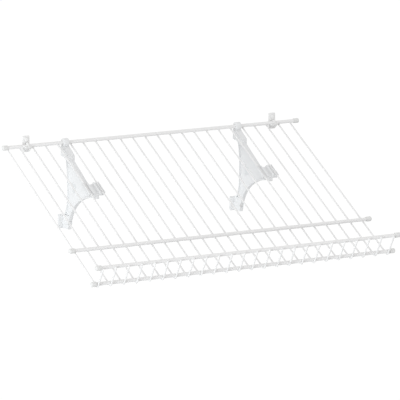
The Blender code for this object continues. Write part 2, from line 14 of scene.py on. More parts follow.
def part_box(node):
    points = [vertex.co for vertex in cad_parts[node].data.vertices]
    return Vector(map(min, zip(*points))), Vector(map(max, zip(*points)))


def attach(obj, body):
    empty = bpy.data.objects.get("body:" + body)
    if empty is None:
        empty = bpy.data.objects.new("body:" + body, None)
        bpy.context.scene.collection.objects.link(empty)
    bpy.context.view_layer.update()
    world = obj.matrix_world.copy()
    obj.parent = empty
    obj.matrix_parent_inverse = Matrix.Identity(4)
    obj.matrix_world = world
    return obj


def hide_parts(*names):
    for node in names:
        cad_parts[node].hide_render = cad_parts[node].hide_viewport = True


bl_info = {
    "name": "Wire shoe shelf",
    "version": (1, 0, 0),
    "blender": (4, 5, 0),
    "location": "View3D > Sidebar > Shoe shelf",
    "description": "Wires, rods, caps, brackets and wall clips of a sloping shoe shelf, with its studio",
    "category": "Object",
}

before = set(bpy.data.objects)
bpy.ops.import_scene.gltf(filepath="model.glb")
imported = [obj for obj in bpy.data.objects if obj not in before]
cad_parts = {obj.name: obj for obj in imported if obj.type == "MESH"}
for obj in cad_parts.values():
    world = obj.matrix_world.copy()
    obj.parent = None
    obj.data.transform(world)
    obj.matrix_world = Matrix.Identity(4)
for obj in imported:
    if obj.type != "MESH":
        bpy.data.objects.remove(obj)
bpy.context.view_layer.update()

MM = 0.001
SIDES = ("left", "right")
ROD_NAMES = ("rear", "middle", "front", "lip")
WIRE_NAMES = sorted(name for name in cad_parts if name.startswith("wire_"))
ALONG_X = Vector((1, 0, 0))
TOWARDS_FRONT = Vector((0, -1, 0))


def middle_of(node):
    """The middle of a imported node's box."""
    low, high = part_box(node)
    return (low + high) / 2


def size_of(node):
    """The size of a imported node's box."""
    low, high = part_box(node)
    return high - low


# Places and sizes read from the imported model
ROD_AXES = {name: middle_of(f"rod_{name}") for name in ROD_NAMES}
REAR = Vector((0, ROD_AXES["rear"].y, ROD_AXES["rear"].z))
DECK_WAY = (ROD_AXES["front"] - ROD_AXES["rear"]).normalized()
DECK_UP = DECK_WAY.cross(ALONG_X)
DECK_DEPTH = (ROD_AXES["front"] - ROD_AXES["rear"]).length
LIP_WAY = (ROD_AXES["lip"] - ROD_AXES["front"]).normalized()
LIP_HEIGHT = (ROD_AXES["lip"] - ROD_AXES["front"]).length
LIP_OUT = ALONG_X.cross(LIP_WAY)
WIRE_XS = [middle_of(name).x for name in WIRE_NAMES]
WIRE_PITCH = WIRE_XS[1] - WIRE_XS[0]
ROD_DIAMETER = size_of("rod_rear").z
WIRE_DIAMETER = size_of(WIRE_NAMES[0]).x
CAP_DIAMETER = size_of("cap_rear_left").z
CAP_LENGTH = size_of("cap_rear_left").x
WALL_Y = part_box("clip_left")[1].y
BRACKET_XS = {side: middle_of(f"bracket_{side}").x for side in SIDES}
CLIP_XS = {side: middle_of(f"clip_{side}").x for side in SIDES}
WALL_TO_ROD = WALL_Y - REAR.y
BRACKET_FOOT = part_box("bracket_left")[0].z - REAR.z

# Limits of the shaping tools: what counts as a corner, as smooth, and as the same place
SHARP_ANGLE = radians(28)
SMOOTH_ANGLE = radians(40)
SAME_PLACE = 0.01 * MM
WELD_DISTANCE = 0.002 * MM


def length(label, about, default):
    """A size that a user can set, in metres."""
    return FloatProperty(name=label, description=about, default=default, min=0.0, precision=5,
                         subtype='DISTANCE', unit='LENGTH')


def turn(label, about, default):
    """An angle that a user can set."""
    return FloatProperty(name=label, description=about, default=default, subtype='ANGLE', unit='ROTATION')


def colour(label, about, default):
    """A colour that a user can set."""
    return FloatVectorProperty(name=label, description=about, default=default, size=3, min=0.0, max=1.0,
                               subtype='COLOR')


def share(label, about, default):
    """A share between none and all."""
    return FloatProperty(name=label, description=about, default=default, min=0.0, max=1.0, subtype='FACTOR')


def number(label, about, default, subtype='NONE', unit='NONE'):
    """A plain number that a user can set, or one with a unit of its own."""
    return FloatProperty(name=label, description=about, default=default, subtype=subtype, unit=unit)


def count(label, about, default):
    """A whole number of steps or sides."""
    return IntProperty(name=label, description=about, default=default, min=2)


class ShelfFinish(bpy.types.PropertyGroup):
    """Colours and gloss of the five finishes."""

    coating: colour("Coating", "Colour of the coat on the wires and rods", (0.86, 0.855, 0.853))
    coating_shade: colour("Coating shade", "Its duller colour in patches", (0.84, 0.835, 0.833))
    coating_gloss: share("Coating roughness", "Roughness of the coat", 0.34)
    plastic: colour("Bracket plastic", "Colour of the brackets", (0.83, 0.835, 0.84))
    plastic_shade: colour("Bracket plastic shade", "Its duller colour in patches", (0.81, 0.815, 0.82))
    plastic_gloss: share("Moulded plastic roughness", "Roughness of the brackets and clips", 0.44)
    # Painted shade: the web's recess is given a darker colour to stand in for the shade in it
    painted_recess_shade: colour("Painted recess shade", "Duller colour of the recess in the bracket's web", (0.74, 0.755, 0.76))
    # Painted light: the clips and pins are the brackets' plastic, painted lighter to lift the shade on
    # their undersides
    clip: colour("Clip plastic", "Colour of the wall clips and pins", (0.85, 0.848, 0.843))
    clip_shade: colour("Clip plastic shade", "Its duller colour in patches", (0.83, 0.828, 0.823))
    vinyl: colour("Cap vinyl", "Colour of the soft end caps", (0.79, 0.79, 0.782))
    vinyl_shade: colour("Cap vinyl shade", "Its duller colour in patches", (0.76, 0.76, 0.75))
    vinyl_gloss: share("Cap vinyl roughness", "Roughness of the end caps", 0.52)
    # Painted light: the screw paint is lighter than white paint is, to lift the shade in the counterbore
    screw: colour("Screw paint", "Colour of the painted screws", (0.93, 0.93, 0.925))
    screw_shade: colour("Screw shade", "Its duller colour in patches", (0.91, 0.91, 0.905))
    screw_gloss: share("Screw roughness", "Roughness of the screw's paint", 0.38)


class WireSizes(bpy.types.PropertyGroup):
    """Sizes of the bent wires."""

    diameter: length("Wire diameter", "Thickness of a coated wire", WIRE_DIAMETER)
    gap: length("Wire gap", "Distance between a wire's surface and a rod's", 0.3 * MM)
    tail: length("Wire tail", "How far a wire runs past the rear rod's axis", 2.6 * MM)
    top: length("Wire top", "How far a wire runs past the lip rod's axis", 2.5 * MM)
    end_round: length("Wire end", "Rounding of a wire's coated end", 0.5 * MM)
    sides: count("Wire sides", "Faces round a wire", 20)
    bend_steps: count("Bend steps", "Steps round the front bend", 14)


class RodSizes(bpy.types.PropertyGroup):
    """Sizes of the rods and the welds on them."""

    diameter: length("Rod diameter", "Thickness of a coated rod", ROD_DIAMETER)
    end_round: length("Rod end", "Chamfer of a rod's end", 0.5 * MM)
    weld_reach: length("Weld reach", "Half length of a weld along the rod", 2.2 * MM)
    weld_spread: length("Weld spread", "Half length of a weld along the wire", 2.1 * MM)
    sides: count("Rod sides", "Faces round a rod", 48)
    weld_sides: count("Weld sides", "Faces round a weld", 12)


class CapSizes(bpy.types.PropertyGroup):
    """Sizes of the soft end caps."""

    diameter: length("Cap diameter", "Outside of a cap", CAP_DIAMETER)
    reach: length("Cap length", "Length of a cap", CAP_LENGTH)
    wall: length("Cap wall", "Thickness of a cap's wall", 0.95 * MM)
    end_wall: length("Cap end wall", "Thickness of a cap's closed end", 2.0 * MM)
    dome: length("Cap dome", "Height of the rounded end", 2.2 * MM)
    lip: length("Cap lip", "Rounding of the cap's mouth", 0.45 * MM)
    sides: count("Cap sides", "Faces round a cap", 40)
    dome_steps: count("Dome steps", "Steps over the rounded end", 8)


class BracketSizes(bpy.types.PropertyGroup):
    """Sizes of the moulded support brackets."""

    flange_half: length("Flange half width", "Half width of the arm's flanges", 3.8 * MM)
    web_half: length("Web half thickness", "Half thickness of the web", 1.1 * MM)
    flange: length("Flange thickness", "Thickness of the flanges", 2.6 * MM)
    head_half: length("Head half width", "Half width of the block below the hook", 6.5 * MM)
    hook_half: length("Hook half width", "Half width of the hook", 5.2 * MM)
    hook_wall: length("Hook wall", "Wall of the hook round the rod", 4.3 * MM)
    saddle_start: length("Saddle start", "Where the saddle begins along the deck", 116.0 * MM)
    saddle_length: length("Saddle length", "Length of the saddle", 31.0 * MM)
    pad: length("Foot pad", "Width and height of the pad on the wall", 26.0 * MM)
    pad_thickness: length("Pad thickness", "Thickness of the pad", 3.5 * MM)
    boss_diameter: length("Boss diameter", "Outside of the screw's boss", 10.4 * MM)
    boss_length: length("Boss length", "Length of the screw's boss", 24.0 * MM)
    edge: length("Moulded edge", "Rounding of the outer edges", 0.5 * MM)
    fillet: length("Web fillet", "Rounding where the flanges meet the web", 0.9 * MM)
    curve_steps: count("Curve steps", "Steps along each hollow curve", 28)


class FastenerSizes(bpy.types.PropertyGroup):
    """Sizes of the screws and pins."""

    screw_head: length("Screw head", "Diameter of the screw's head", 7.4 * MM)
    screw_height: length("Screw head height", "Height of the screw's head", 2.4 * MM)
    screw_shank: length("Screw shank", "Diameter of the screw's shank", 4.0 * MM)
    slot_length: length("Cross length", "Length of the cross recess", 3.8 * MM)
    slot_width: length("Cross width", "Width of the cross recess", 0.8 * MM)
    slot_depth: length("Cross depth", "Depth of the cross recess", 0.9 * MM)
    pin_head: length("Pin head", "Diameter of the pin's head", 8.0 * MM)
    pin_height: length("Pin head height", "Height of the pin's head", 1.8 * MM)
    pin_shank: length("Pin shank", "Diameter of the pin's shank", 3.2 * MM)
    pin_rise: length("Pin rise", "Height of the pin above the rear rod", 11.0 * MM)


class ClipSizes(bpy.types.PropertyGroup):
    """Sizes of the wall clips."""

    half_width: length("Clip half width", "Half width of a clip", 6.65 * MM)
    plate: length("Clip plate", "Thickness of the back plate", 2.5 * MM)
    rise: length("Clip rise", "Height of the plate above the rod's axis", 17.9 * MM)
    drop: length("Clip drop", "Depth of the clip below the rod's axis", 11.6 * MM)
    wall: length("Clip wall", "Wall of the hook in front of the rod", 3.65 * MM)
    tongue_half: length("Tongue half width", "Half width of the spring tongue", 2.0 * MM)
    tongue: length("Tongue thickness", "Thickness of the spring tongue", 2.2 * MM)
    edge: length("Clip edge", "Rounding of the clip's edges", 0.4 * MM)


class StudioSizes(bpy.types.PropertyGroup):
    """Floor, lamps and camera."""

    floor_drop: length("Floor drop", "Depth of the floor below the rear rod", 2.0)
    floor_size: length("Floor size", "Width of the floor", 30.0)
    world_light: number("World light", "Strength of the even light", 0.87)
    left_light: number("Left light", "Power of the left lamp", 105.0, 'POWER', 'POWER')
    front_light: number("Front light", "Power of the front lamp", 72.0, 'POWER', 'POWER')
    camera_turn: turn("Camera turn", "How far the camera stands to the left", radians(28.25))
    camera_tilt: turn("Camera tilt", "How far the camera looks down", radians(11.14))
    camera_distance: length("Camera distance", "Distance to the point looked at", 7.389)
    lens: number("Lens", "Focal length on a 36 mm square frame", 368.1, 'DISTANCE_CAMERA', 'CAMERA')


class ShoeShelf(bpy.types.PropertyGroup):
    """Everything that a user can set."""

    finish: PointerProperty(type=ShelfFinish)
    wire: PointerProperty(type=WireSizes)
    rod: PointerProperty(type=RodSizes)
    cap: PointerProperty(type=CapSizes)
    bracket: PointerProperty(type=BracketSizes)
    fastener: PointerProperty(type=FastenerSizes)
    clip: PointerProperty(type=ClipSizes)
    studio: PointerProperty(type=StudioSizes)


# Drawing points
def arc(centre, radius, start, end, steps):
    """Points along an arc, at angles taken from the first axis towards the second."""
    angles = [start + (end - start) * i / steps for i in range(steps + 1)]
    return [(centre[0] + radius * cos(a), centre[1] + radius * sin(a)) for a in angles]


def bezier(points, steps):
    """Points along a cubic curve, both ends included."""
    first, second, third, last = (Vector(point) for point in points)
    path = []
    for i in range(steps + 1):
        t = i / steps
        u = 1 - t
        path.append(tuple(first * u**3 + second * 3 * u**2 * t + third * 3 * u * t**2 + last * t**3))
    return path


def drawn_in(path, distance):
    """A closed outline moved to its left by a distance, with mitred corners."""
    points = [Vector(point) for point in path]
    moved = []
    for i, point in enumerate(points):
        before = (point - points[i - 1]).normalized()
        after = (points[(i + 1) % len(points)] - point).normalized()
        normals = [Vector((-way.y, way.x)) for way in (before, after)]
        middle = (normals[0] + normals[1]).normalized()
        moved.append(tuple(point + middle * (distance / middle.dot(normals[0]))))
    return moved


def from_side(x, points):
    """World places of side-view points, measured from the rear rod's axis."""
    return [Vector((x, REAR.y + out, REAR.z + up)) for out, up in points]


def rectangle(low, high):
    """The four corners between a low and a high one, in side view."""
    return [low, (high[0], low[1]), high, (low[0], high[1])]


def on_deck(along, above):
    """A side-view point, from its distance along the deck and above the plane of the rods."""
    place = DECK_WAY * along + DECK_UP * above
    return place.y, place.z


# Making and shaping by hand
def pick(*objects):
    """Select some objects alone, the first of them active."""
    bpy.ops.object.select_all(action='DESELECT')
    for obj in objects:
        obj.select_set(True)
    if objects:
        bpy.context.view_layer.objects.active = objects[0]


def edit(obj):
    """Open one object in edit mode."""
    if bpy.context.object and bpy.context.object.mode == 'EDIT':
        bpy.ops.object.mode_set(mode='OBJECT')
    pick(obj)
    bpy.ops.object.mode_set(mode='EDIT')


def opened(name):
    """The primitive just added, named and open in edit mode with all of it selected."""
    obj = bpy.context.object
    obj.name = name
    bpy.ops.object.mode_set(mode='EDIT')
    bpy.ops.mesh.select_all(action='SELECT')
    return obj


def close_edit():
    """Turn every face out and leave edit mode."""
    bpy.ops.mesh.select_all(action='SELECT')
    bpy.ops.mesh.normals_make_consistent(inside=False)
    bpy.ops.object.mode_set(mode='OBJECT')


def push(way):
    """Extrude what is selected."""
    bpy.ops.mesh.extrude_region_move(TRANSFORM_OT_translate={"value": tuple(way)})


def settle(obj):
    """Put the object's place and turn into its mesh."""
    pick(obj)
    bpy.ops.object.transform_apply(location=True, rotation=True, scale=True)
    return obj


def draw_solid(name, points, way):
    """A closed outline drawn corner by corner, filled, and pushed into a solid."""
    pick()
    bpy.ops.mesh.primitive_plane_add(size=MM, location=points[0])
    obj = opened(name)
    bpy.ops.mesh.select_mode(type='VERT')
    bpy.ops.mesh.merge(type='CENTER')
    for start, end in zip(points, points[1:]):
        bpy.ops.mesh.extrude_vertices_move(TRANSFORM_OT_translate={"value": tuple(end - start)})
    bpy.ops.mesh.select_all(action='SELECT')
    bpy.ops.mesh.edge_face_add()
    push(way)
    close_edit()
    return settle(obj)


def draw_round(name, rings, sides):
    """A solid of circles stacked along Z, from the first (radius, height) to the last."""
    pick()
    radius, height = rings[0]
    bpy.ops.mesh.primitive_circle_add(vertices=sides, radius=radius, fill_type='NGON',
                                      location=(0, 0, height))
    obj = opened(name)
    for (low_radius, low), (high_radius, high) in zip(rings, rings[1:]):
        push((0, 0, high - low))
        grow = high_radius / low_radius
        bpy.ops.transform.resize(value=(grow, grow, 1))
    close_edit()
    return settle(obj)


def stand(obj, place, way):
    """Turn a solid drawn along Z to face a way, and put it in its place."""
    obj.matrix_world = Matrix.Translation(place) @ Vector(way).to_track_quat('Z', 'Y').to_matrix().to_4x4()
    return settle(obj)


def soften(obj, width, wanted=None, steps=3):
    """Round the edges whose faces meet at an angle, all of them or those that wanted picks."""
    edit(obj)
    bpy.ops.mesh.select_all(action='DESELECT')
    bpy.ops.mesh.select_mode(type='EDGE')
    shape = bmesh.from_edit_mesh(obj.data)
    for edge in shape.edges:
        sharp = len(edge.link_faces) == 2 and edge.calc_face_angle() > SHARP_ANGLE
        if sharp and (wanted is None or wanted(edge)):
            edge.select_set(True)
    bmesh.update_edit_mesh(obj.data)
    bpy.ops.mesh.bevel(offset=width, segments=steps, affect='EDGES', clamp_overlap=True)
    close_edit()
    return obj


def runs_along(axis):
    """Picks the edges that run along an axis."""
    return lambda edge: abs(getattr(edge.verts[0].co - edge.verts[1].co, axis)) > MM


def stands_before(depth):
    """Picks the edges that lie wholly nearer the front than a depth."""
    return lambda edge: all(vert.co.y < depth for vert in edge.verts)


def combine(body, tools, operation):
    """Join the tools to the body, or cut them from it, and clear them away."""
    for tool in tools:
        bpy.context.view_layer.objects.active = body
        modifier = body.modifiers.new(operation.lower(), 'BOOLEAN')
        modifier.operation = operation
        modifier.solver = 'EXACT'
        modifier.object = tool
        bpy.ops.object.modifier_apply(modifier=modifier.name)
        bpy.data.objects.remove(tool)
        edit(body)
        bpy.ops.mesh.select_all(action='SELECT')
        bpy.ops.mesh.remove_doubles(threshold=WELD_DISTANCE)
        bpy.ops.mesh.dissolve_degenerate(threshold=WELD_DISTANCE)
        bpy.ops.object.mode_set(mode='OBJECT')
    return body


def smooth(obj):
    """Smooth shading, with the true corners kept crisp."""
    pick(obj)
    bpy.ops.object.shade_smooth_by_angle(angle=SMOOTH_ANGLE)
    return obj


def copied(obj, name, shift):
    """A copy with its own mesh, moved by a shift."""
    twin = obj.copy()
    twin.data = obj.data.copy()
    twin.name = name
    bpy.context.scene.collection.objects.link(twin)
    twin.data.transform(Matrix.Translation(shift))
    return twin


def repeated(first, xs):
    """A piece drawn at the first of several places along X, and its copies at the others."""
    return [first] + [copied(first, first.name, (x - xs[0], 0, 0)) for x in xs[1:]]


def joined(objects, name):
    """One object of several."""
    pick(*objects)
    bpy.ops.object.join()
    objects[0].name = name
    return objects[0]


def hand_over(obj, body, material, node):
    """Give a finished piece its finish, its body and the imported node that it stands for."""
    obj.data.materials.clear()
    obj.data.materials.append(material)
    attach(obj, body)
    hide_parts(node)


def hand_over_pair(first, xs, name, node, material):
    """Copy a moulding from the left to the right, and hand both over to the wall's body."""
    for side, moulding in zip(SIDES, repeated(first, [xs[side] for side in SIDES])):
        moulding.name = f"{name}_{side}"
        hand_over(moulding, "wall_supports", material, f"{node}_{side}")


# Shader nodes
MATH = 'ShaderNodeMath'
VECTOR_MATH = 'ShaderNodeVectorMath'
SOCKET_KINDS = {3: 'NodeSocketVector', 4: 'NodeSocketColor'}
PALE = (0.8, 0.8, 0.8, 1)
# Ranges over which patches, ridges, hollows, worn edges, dust with painted shade and swells come in
BROAD_PATCHES = (0.3, 0.75)
SMALL_PATCHES = (0.3, 0.7)
SMALL_PATCH_FLOOR = 0.3
RIDGES = (0.49, 0.52)
SHADED_HOLLOWS = (0.50, 0.47)
WORN_LIKENESS = (0.995, 0.90)
DUSTY_SHADED_LIKENESS = (0.995, 0.85)
SWELLS = (0.3, 0.7)
# Strengths and reaches of the effects
GRAIN_SHARE = 0.25
EDGE_SAMPLES = 8
EDGE_REACH = 0.6 * MM
PAINTED_SHADE_EDGE = 0.5 * MM
SPECULAR_LEVEL = 0.3
BUMP_DISTANCE = 0.05 * MM


def feed(tree, socket, value):
    """Fill an input with another node's output, or with a plain value."""
    if isinstance(value, bpy.types.NodeSocket):
        tree.links.new(value, socket)
    else:
        socket.default_value = value


def feed_all(tree, node, values):
    """Fill the named inputs of a node, and give its outputs."""
    for label, value in values.items():
        feed(tree, node.inputs[label], value)
    return node.outputs


def computed(tree, kind, operation, *values):
    """The outputs of one maths node."""
    node = tree.nodes.new(kind)
    node.operation = operation
    for socket, value in zip(node.inputs, values):
        feed(tree, socket, value)
    return node.outputs


def noise(tree, vector, scale, detail):
    """A noise texture on the piece's own coordinates."""
    node = tree.nodes.new('ShaderNodeTexNoise')
    return feed_all(tree, node, {"Vector": vector, "Scale": scale, "Detail": detail})["Fac"]


def spread(tree, value, source, low, high):
    """A value stretched from its source range to one between low and high."""
    node = tree.nodes.new('ShaderNodeMapRange')
    return feed_all(tree, node, {"Value": value, "From Min": source[0], "From Max": source[1],
                                 "To Min": low, "To Max": high})["Result"]


def blended(tree, mask, first, second):
    """Two colours mixed by a mask."""
    node = tree.nodes.new('ShaderNodeMix')
    node.data_type = 'RGBA'
    return feed_all(tree, node, {"Factor": mask, "A": first, "B": second})["Result"]


def rounded_normal(tree, radius):
    """The normal that a surface would have if its edges were rounded."""
    node = tree.nodes.new('ShaderNodeBevel')
    node.samples = EDGE_SAMPLES
    return feed_all(tree, node, {"Radius": radius})["Normal"]


# Shared effects
def new_group(name, given, made):
    """A shader node group: its inputs with their default values, and the kinds of its outputs."""
    group = bpy.data.node_groups.new(name, 'ShaderNodeTree')
    for label, default in given.items():
        kind = 'NodeSocketFloat' if isinstance(default, float) else SOCKET_KINDS[len(default)]
        group.interface.new_socket(label, in_out='INPUT', socket_type=kind).default_value = default
    for label, kind in made.items():
        group.interface.new_socket(label, in_out='OUTPUT', socket_type=kind)
    return group, group.nodes.new('NodeGroupInput').outputs, group.nodes.new('NodeGroupOutput').inputs


def cloud_group(name):
    """Faint patches of a duller colour, broad ones and small ones."""
    group, given, made = new_group(
        name, {"Vector": (0, 0, 0), "Colour": PALE, "Shade": PALE, "Scale": 60.0, "Fine Scale": 600.0},
        {"Colour": 'NodeSocketColor'})
    broad = noise(group, given["Vector"], given["Scale"], detail=3.0)
    fine = noise(group, given["Vector"], given["Fine Scale"], detail=2.0)
    mask = computed(group, MATH, 'MULTIPLY', spread(group, broad, BROAD_PATCHES, 0.0, 1.0),
                    spread(group, fine, SMALL_PATCHES, SMALL_PATCH_FLOOR, 1.0))[0]
    feed(group, made["Colour"], blended(group, mask, given["Colour"], given["Shade"]))
    return group


def edge_group(name):
    """Edges rubbed a little paler, and inner corners darkened with dust and painted shade."""
    group, given, made = new_group(
        name, {"Colour": PALE, "Rubbed": PALE, "Dust And Shade": PALE, "Rub": 0.5, "Dust And Shade Share": 0.3},
        {"Colour": 'NodeSocketColor'})
    geometry = group.nodes.new('ShaderNodeNewGeometry').outputs
    rounded = rounded_normal(group, EDGE_REACH)
    likeness = computed(group, VECTOR_MATH, 'DOT_PRODUCT', rounded, geometry["Normal"])["Value"]
    rub = spread(group, geometry["Pointiness"], RIDGES, 0.0, given["Rub"])
    # Inner corners and hollows darkened: dust and painted shade
    dust_and_shade = spread(group, geometry["Pointiness"], SHADED_HOLLOWS, 0.0, given["Dust And Shade Share"])
    rubbed = spread(group, likeness, WORN_LIKENESS, 0.0, rub)
    dusted_and_shaded = spread(group, likeness, DUSTY_SHADED_LIKENESS, 0.0, dust_and_shade)
    paler = blended(group, rubbed, given["Colour"], given["Rubbed"])
    feed(group, made["Colour"], blended(group, dusted_and_shaded, paler, given["Dust And Shade"]))
    return group


def skin_group(name):
    """The fine unevenness of a coated or moulded skin, as a height and a roughness."""
    group, given, made = new_group(
        name, {"Vector": (0, 0, 0), "Scale": 900.0, "Grain Scale": 4000.0, "Roughness": 0.4,
               "Roughness Spread": 0.06},
        {"Height": 'NodeSocketFloat', "Roughness": 'NodeSocketFloat'})
    swell = noise(group, given["Vector"], given["Scale"], detail=2.0)
    grain = noise(group, given["Vector"], given["Grain Scale"], detail=1.0)
    feed(group, made["Height"], computed(group, MATH, 'MULTIPLY_ADD', grain, GRAIN_SHARE, swell)[0])
    low, high = (computed(group, MATH, operation, given["Roughness"], given["Roughness Spread"])[0]
                 for operation in ('SUBTRACT', 'ADD'))
    feed(group, made["Roughness"], spread(group, swell, SWELLS, low, high))
    return group


def painted_recess_shade_group(name):
    """Painted shade over a box such as the web's recess, with soft edges: one inside the given box, none
    outside it.
    """
    group, given, made = new_group(
        name, {"Vector": (0, 0, 0), "Centre": (0, 0, 0), "Half Size": (1, 1, 1), "Colour": PALE,
               "Painted Shade": PALE},
        {"Colour": 'NodeSocketColor'})
    away = computed(group, VECTOR_MATH, 'SUBTRACT', given["Vector"], given["Centre"])["Vector"]
    away = computed(group, VECTOR_MATH, 'ABSOLUTE', away)["Vector"]
    away = computed(group, VECTOR_MATH, 'SUBTRACT', away, given["Half Size"])["Vector"]
    parts = feed_all(group, group.nodes.new('ShaderNodeSeparateXYZ'), {"Vector": away})
    outermost = computed(group, MATH, 'MAXIMUM', parts["X"], parts["Y"])[0]
    outermost = computed(group, MATH, 'MAXIMUM', outermost, parts["Z"])[0]
    inside = spread(group, outermost, (0.0, -PAINTED_SHADE_EDGE), 0.0, 1.0)
    feed(group, made["Colour"], blended(group, inside, given["Colour"], given["Painted Shade"]))
    return group


def placed_group(tree, name, maker, values):
    """A shared effect in a material, built the first time, with its own values."""
    node = tree.nodes.new('ShaderNodeGroup')
    node.node_tree = bpy.data.node_groups.get(name) or maker(name)
    return feed_all(tree, node, values)


# Finishes
COAT_SCALES = (14.0, 900.0, 700.0, 5200.0)
PLASTIC_SCALES = (18.0, 260.0, 900.0, 3200.0)
VINYL_SCALES = (60.0, 900.0, 500.0, 4200.0)
PAINT_SCALES = (300.0, 1500.0, 1400.0, 6000.0)
COAT_BUMP = 0.2
PLASTIC_BUMP = 0.06
PLASTIC_FILLET = 0.5 * MM


def white_finish(name, main, shade, gloss, rubbed, dust_and_shade, scales, bump, dust_and_shade_share=0.3, fillet=0.0,
                 recess_shade_field=None):
    """A white finish: faint patches, painted shade over a recess if given, worn edges, dust and painted
    shade in inner corners, a fine skin, its own gloss.

    The four scales are those of broad and small patches, and of the skin's swell and grain.
    """
    material = bpy.data.materials.get(name)
    if material:
        return material
    material = bpy.data.materials.new(name)
    material.use_nodes = True
    tree = material.node_tree
    place = tree.nodes.new('ShaderNodeTexCoord').outputs["Object"]
    cloud_scale, fine_scale, swell_scale, grain_scale = scales
    paint = placed_group(tree, "faint_patches", cloud_group,
                         {"Vector": place, "Colour": (*main, 1), "Shade": (*shade, 1),
                          "Scale": cloud_scale, "Fine Scale": fine_scale})["Colour"]
    if recess_shade_field:
        paint = placed_group(tree, "painted_recess_shade_field", painted_recess_shade_group,
                             {"Vector": place, "Colour": paint, **recess_shade_field})["Colour"]
    paint = placed_group(tree, "edges_and_hollows", edge_group,
                         {"Colour": paint, "Rubbed": (*rubbed, 1), "Dust And Shade": (*dust_and_shade, 1),
                          "Dust And Shade Share": dust_and_shade_share})["Colour"]
    skin = placed_group(tree, "fine_skin", skin_group,
                        {"Vector": place, "Scale": swell_scale, "Grain Scale": grain_scale,
                         "Roughness": gloss})
    relief = {"Strength": bump, "Distance": BUMP_DISTANCE, "Height": skin["Height"]}
    if fillet:
        relief["Normal"] = rounded_normal(tree, fillet)
    normal = feed_all(tree, tree.nodes.new('ShaderNodeBump'), relief)["Normal"]
    feed_all(tree, tree.nodes["Principled BSDF"],
             {"Base Color": paint, "Metallic": 0.0, "Specular IOR Level": SPECULAR_LEVEL,
              "Roughness": skin["Roughness"], "Normal": normal})
    return material


def coating_finish():
    """The white dipped coat on the wires, rods and welds."""
    finish = bpy.context.scene.shoe_shelf.finish
    return white_finish("white_dipped_coat", finish.coating, finish.coating_shade, finish.coating_gloss,
                        rubbed=(0.87, 0.87, 0.865), dust_and_shade=(0.74, 0.74, 0.73), scales=COAT_SCALES,
                        bump=COAT_BUMP)


def bracket_finish():
    """The moulded plastic of the brackets, with painted shade in the web's recess."""
    finish = bpy.context.scene.shoe_shelf.finish
    recess_shade_field = {"Centre": from_side(0.0, [(-RECESS_FORWARD, BRACKET_FOOT + RECESS_RISE)])[0],
             "Half Size": (1.0, RECESS_SIZE[0] / 2, RECESS_SIZE[1] / 2), "Painted Shade": (*finish.painted_recess_shade, 1)}
    return white_finish("white_bracket_plastic", finish.plastic, finish.plastic_shade,
                        finish.plastic_gloss, rubbed=(0.88, 0.885, 0.89), dust_and_shade=(0.74, 0.75, 0.76),
                        scales=PLASTIC_SCALES, bump=PLASTIC_BUMP, dust_and_shade_share=0.15, fillet=PLASTIC_FILLET,
                        recess_shade_field=recess_shade_field)


def clip_finish_painted_lighter():
    """The moulded plastic of the wall clips and their pins, painted lighter than the brackets' same plastic
    to lift the shade on their undersides.
    """
    finish = bpy.context.scene.shoe_shelf.finish
    return white_finish("white_clip_plastic_painted_lighter", finish.clip, finish.clip_shade, finish.plastic_gloss,
                        rubbed=(0.90, 0.90, 0.895), dust_and_shade=(0.82, 0.82, 0.815),
                        scales=PLASTIC_SCALES, bump=PLASTIC_BUMP, dust_and_shade_share=0.05, fillet=PLASTIC_FILLET)


def vinyl_finish():
    """The soft white vinyl of the end caps."""
    finish = bpy.context.scene.shoe_shelf.finish
    return white_finish("white_cap_vinyl", finish.vinyl, finish.vinyl_shade, finish.vinyl_gloss,
                        rubbed=(0.86, 0.86, 0.85), dust_and_shade=(0.72, 0.72, 0.71), scales=VINYL_SCALES,
                        bump=COAT_BUMP)


def screw_finish():
    """White paint on the screws, painted extra light to lift the shade in the counterbore round the head.
    """
    finish = bpy.context.scene.shoe_shelf.finish
    return white_finish("white_screw_paint", finish.screw, finish.screw_shade, finish.screw_gloss,
                        rubbed=(0.93, 0.93, 0.93), dust_and_shade=(0.90, 0.90, 0.90), scales=PAINT_SCALES,
                        bump=COAT_BUMP)


# Wires
def wire_offset(sizes, rod):
    """Distance from a rod's axis to a wire's."""
    return (rod.diameter + sizes.diameter) / 2 + sizes.gap


def draw_wire(sizes, rod, x):
    """One wire: along under the rods, round the front rod and up outside the lip rod."""
    radius = sizes.diameter / 2
    rim = (radius - sizes.end_round) / radius
    start = REAR - DECK_WAY * sizes.tail - DECK_UP * wire_offset(sizes, rod)
    pick()
    bpy.ops.mesh.primitive_circle_add(vertices=sizes.sides, radius=radius * rim, fill_type='NGON',
                                      location=(x, start.y, start.z),
                                      rotation=DECK_WAY.to_track_quat('Z', 'X').to_euler())
    settle(bpy.context.object)
    obj = opened("strand")
    push(DECK_WAY * sizes.end_round)
    bpy.ops.transform.resize(value=(1 / rim, 1 / rim, 1 / rim))
    push(DECK_WAY * (DECK_DEPTH + sizes.tail - sizes.end_round))
    pivot = Vector((x, ROD_AXES["front"].y, ROD_AXES["front"].z))
    bpy.ops.mesh.spin(steps=sizes.bend_steps, angle=DECK_WAY.angle(LIP_WAY), center=pivot,
                      axis=tuple(ALONG_X))
    push(LIP_WAY * (LIP_HEIGHT + sizes.top - sizes.end_round))
    push(LIP_WAY * sizes.end_round)
    bpy.ops.transform.resize(value=(rim, rim, rim))
    bpy.ops.mesh.select_all(action='SELECT')
    bpy.ops.mesh.remove_doubles(threshold=SAME_PLACE)
    close_edit()
    return smooth(obj)


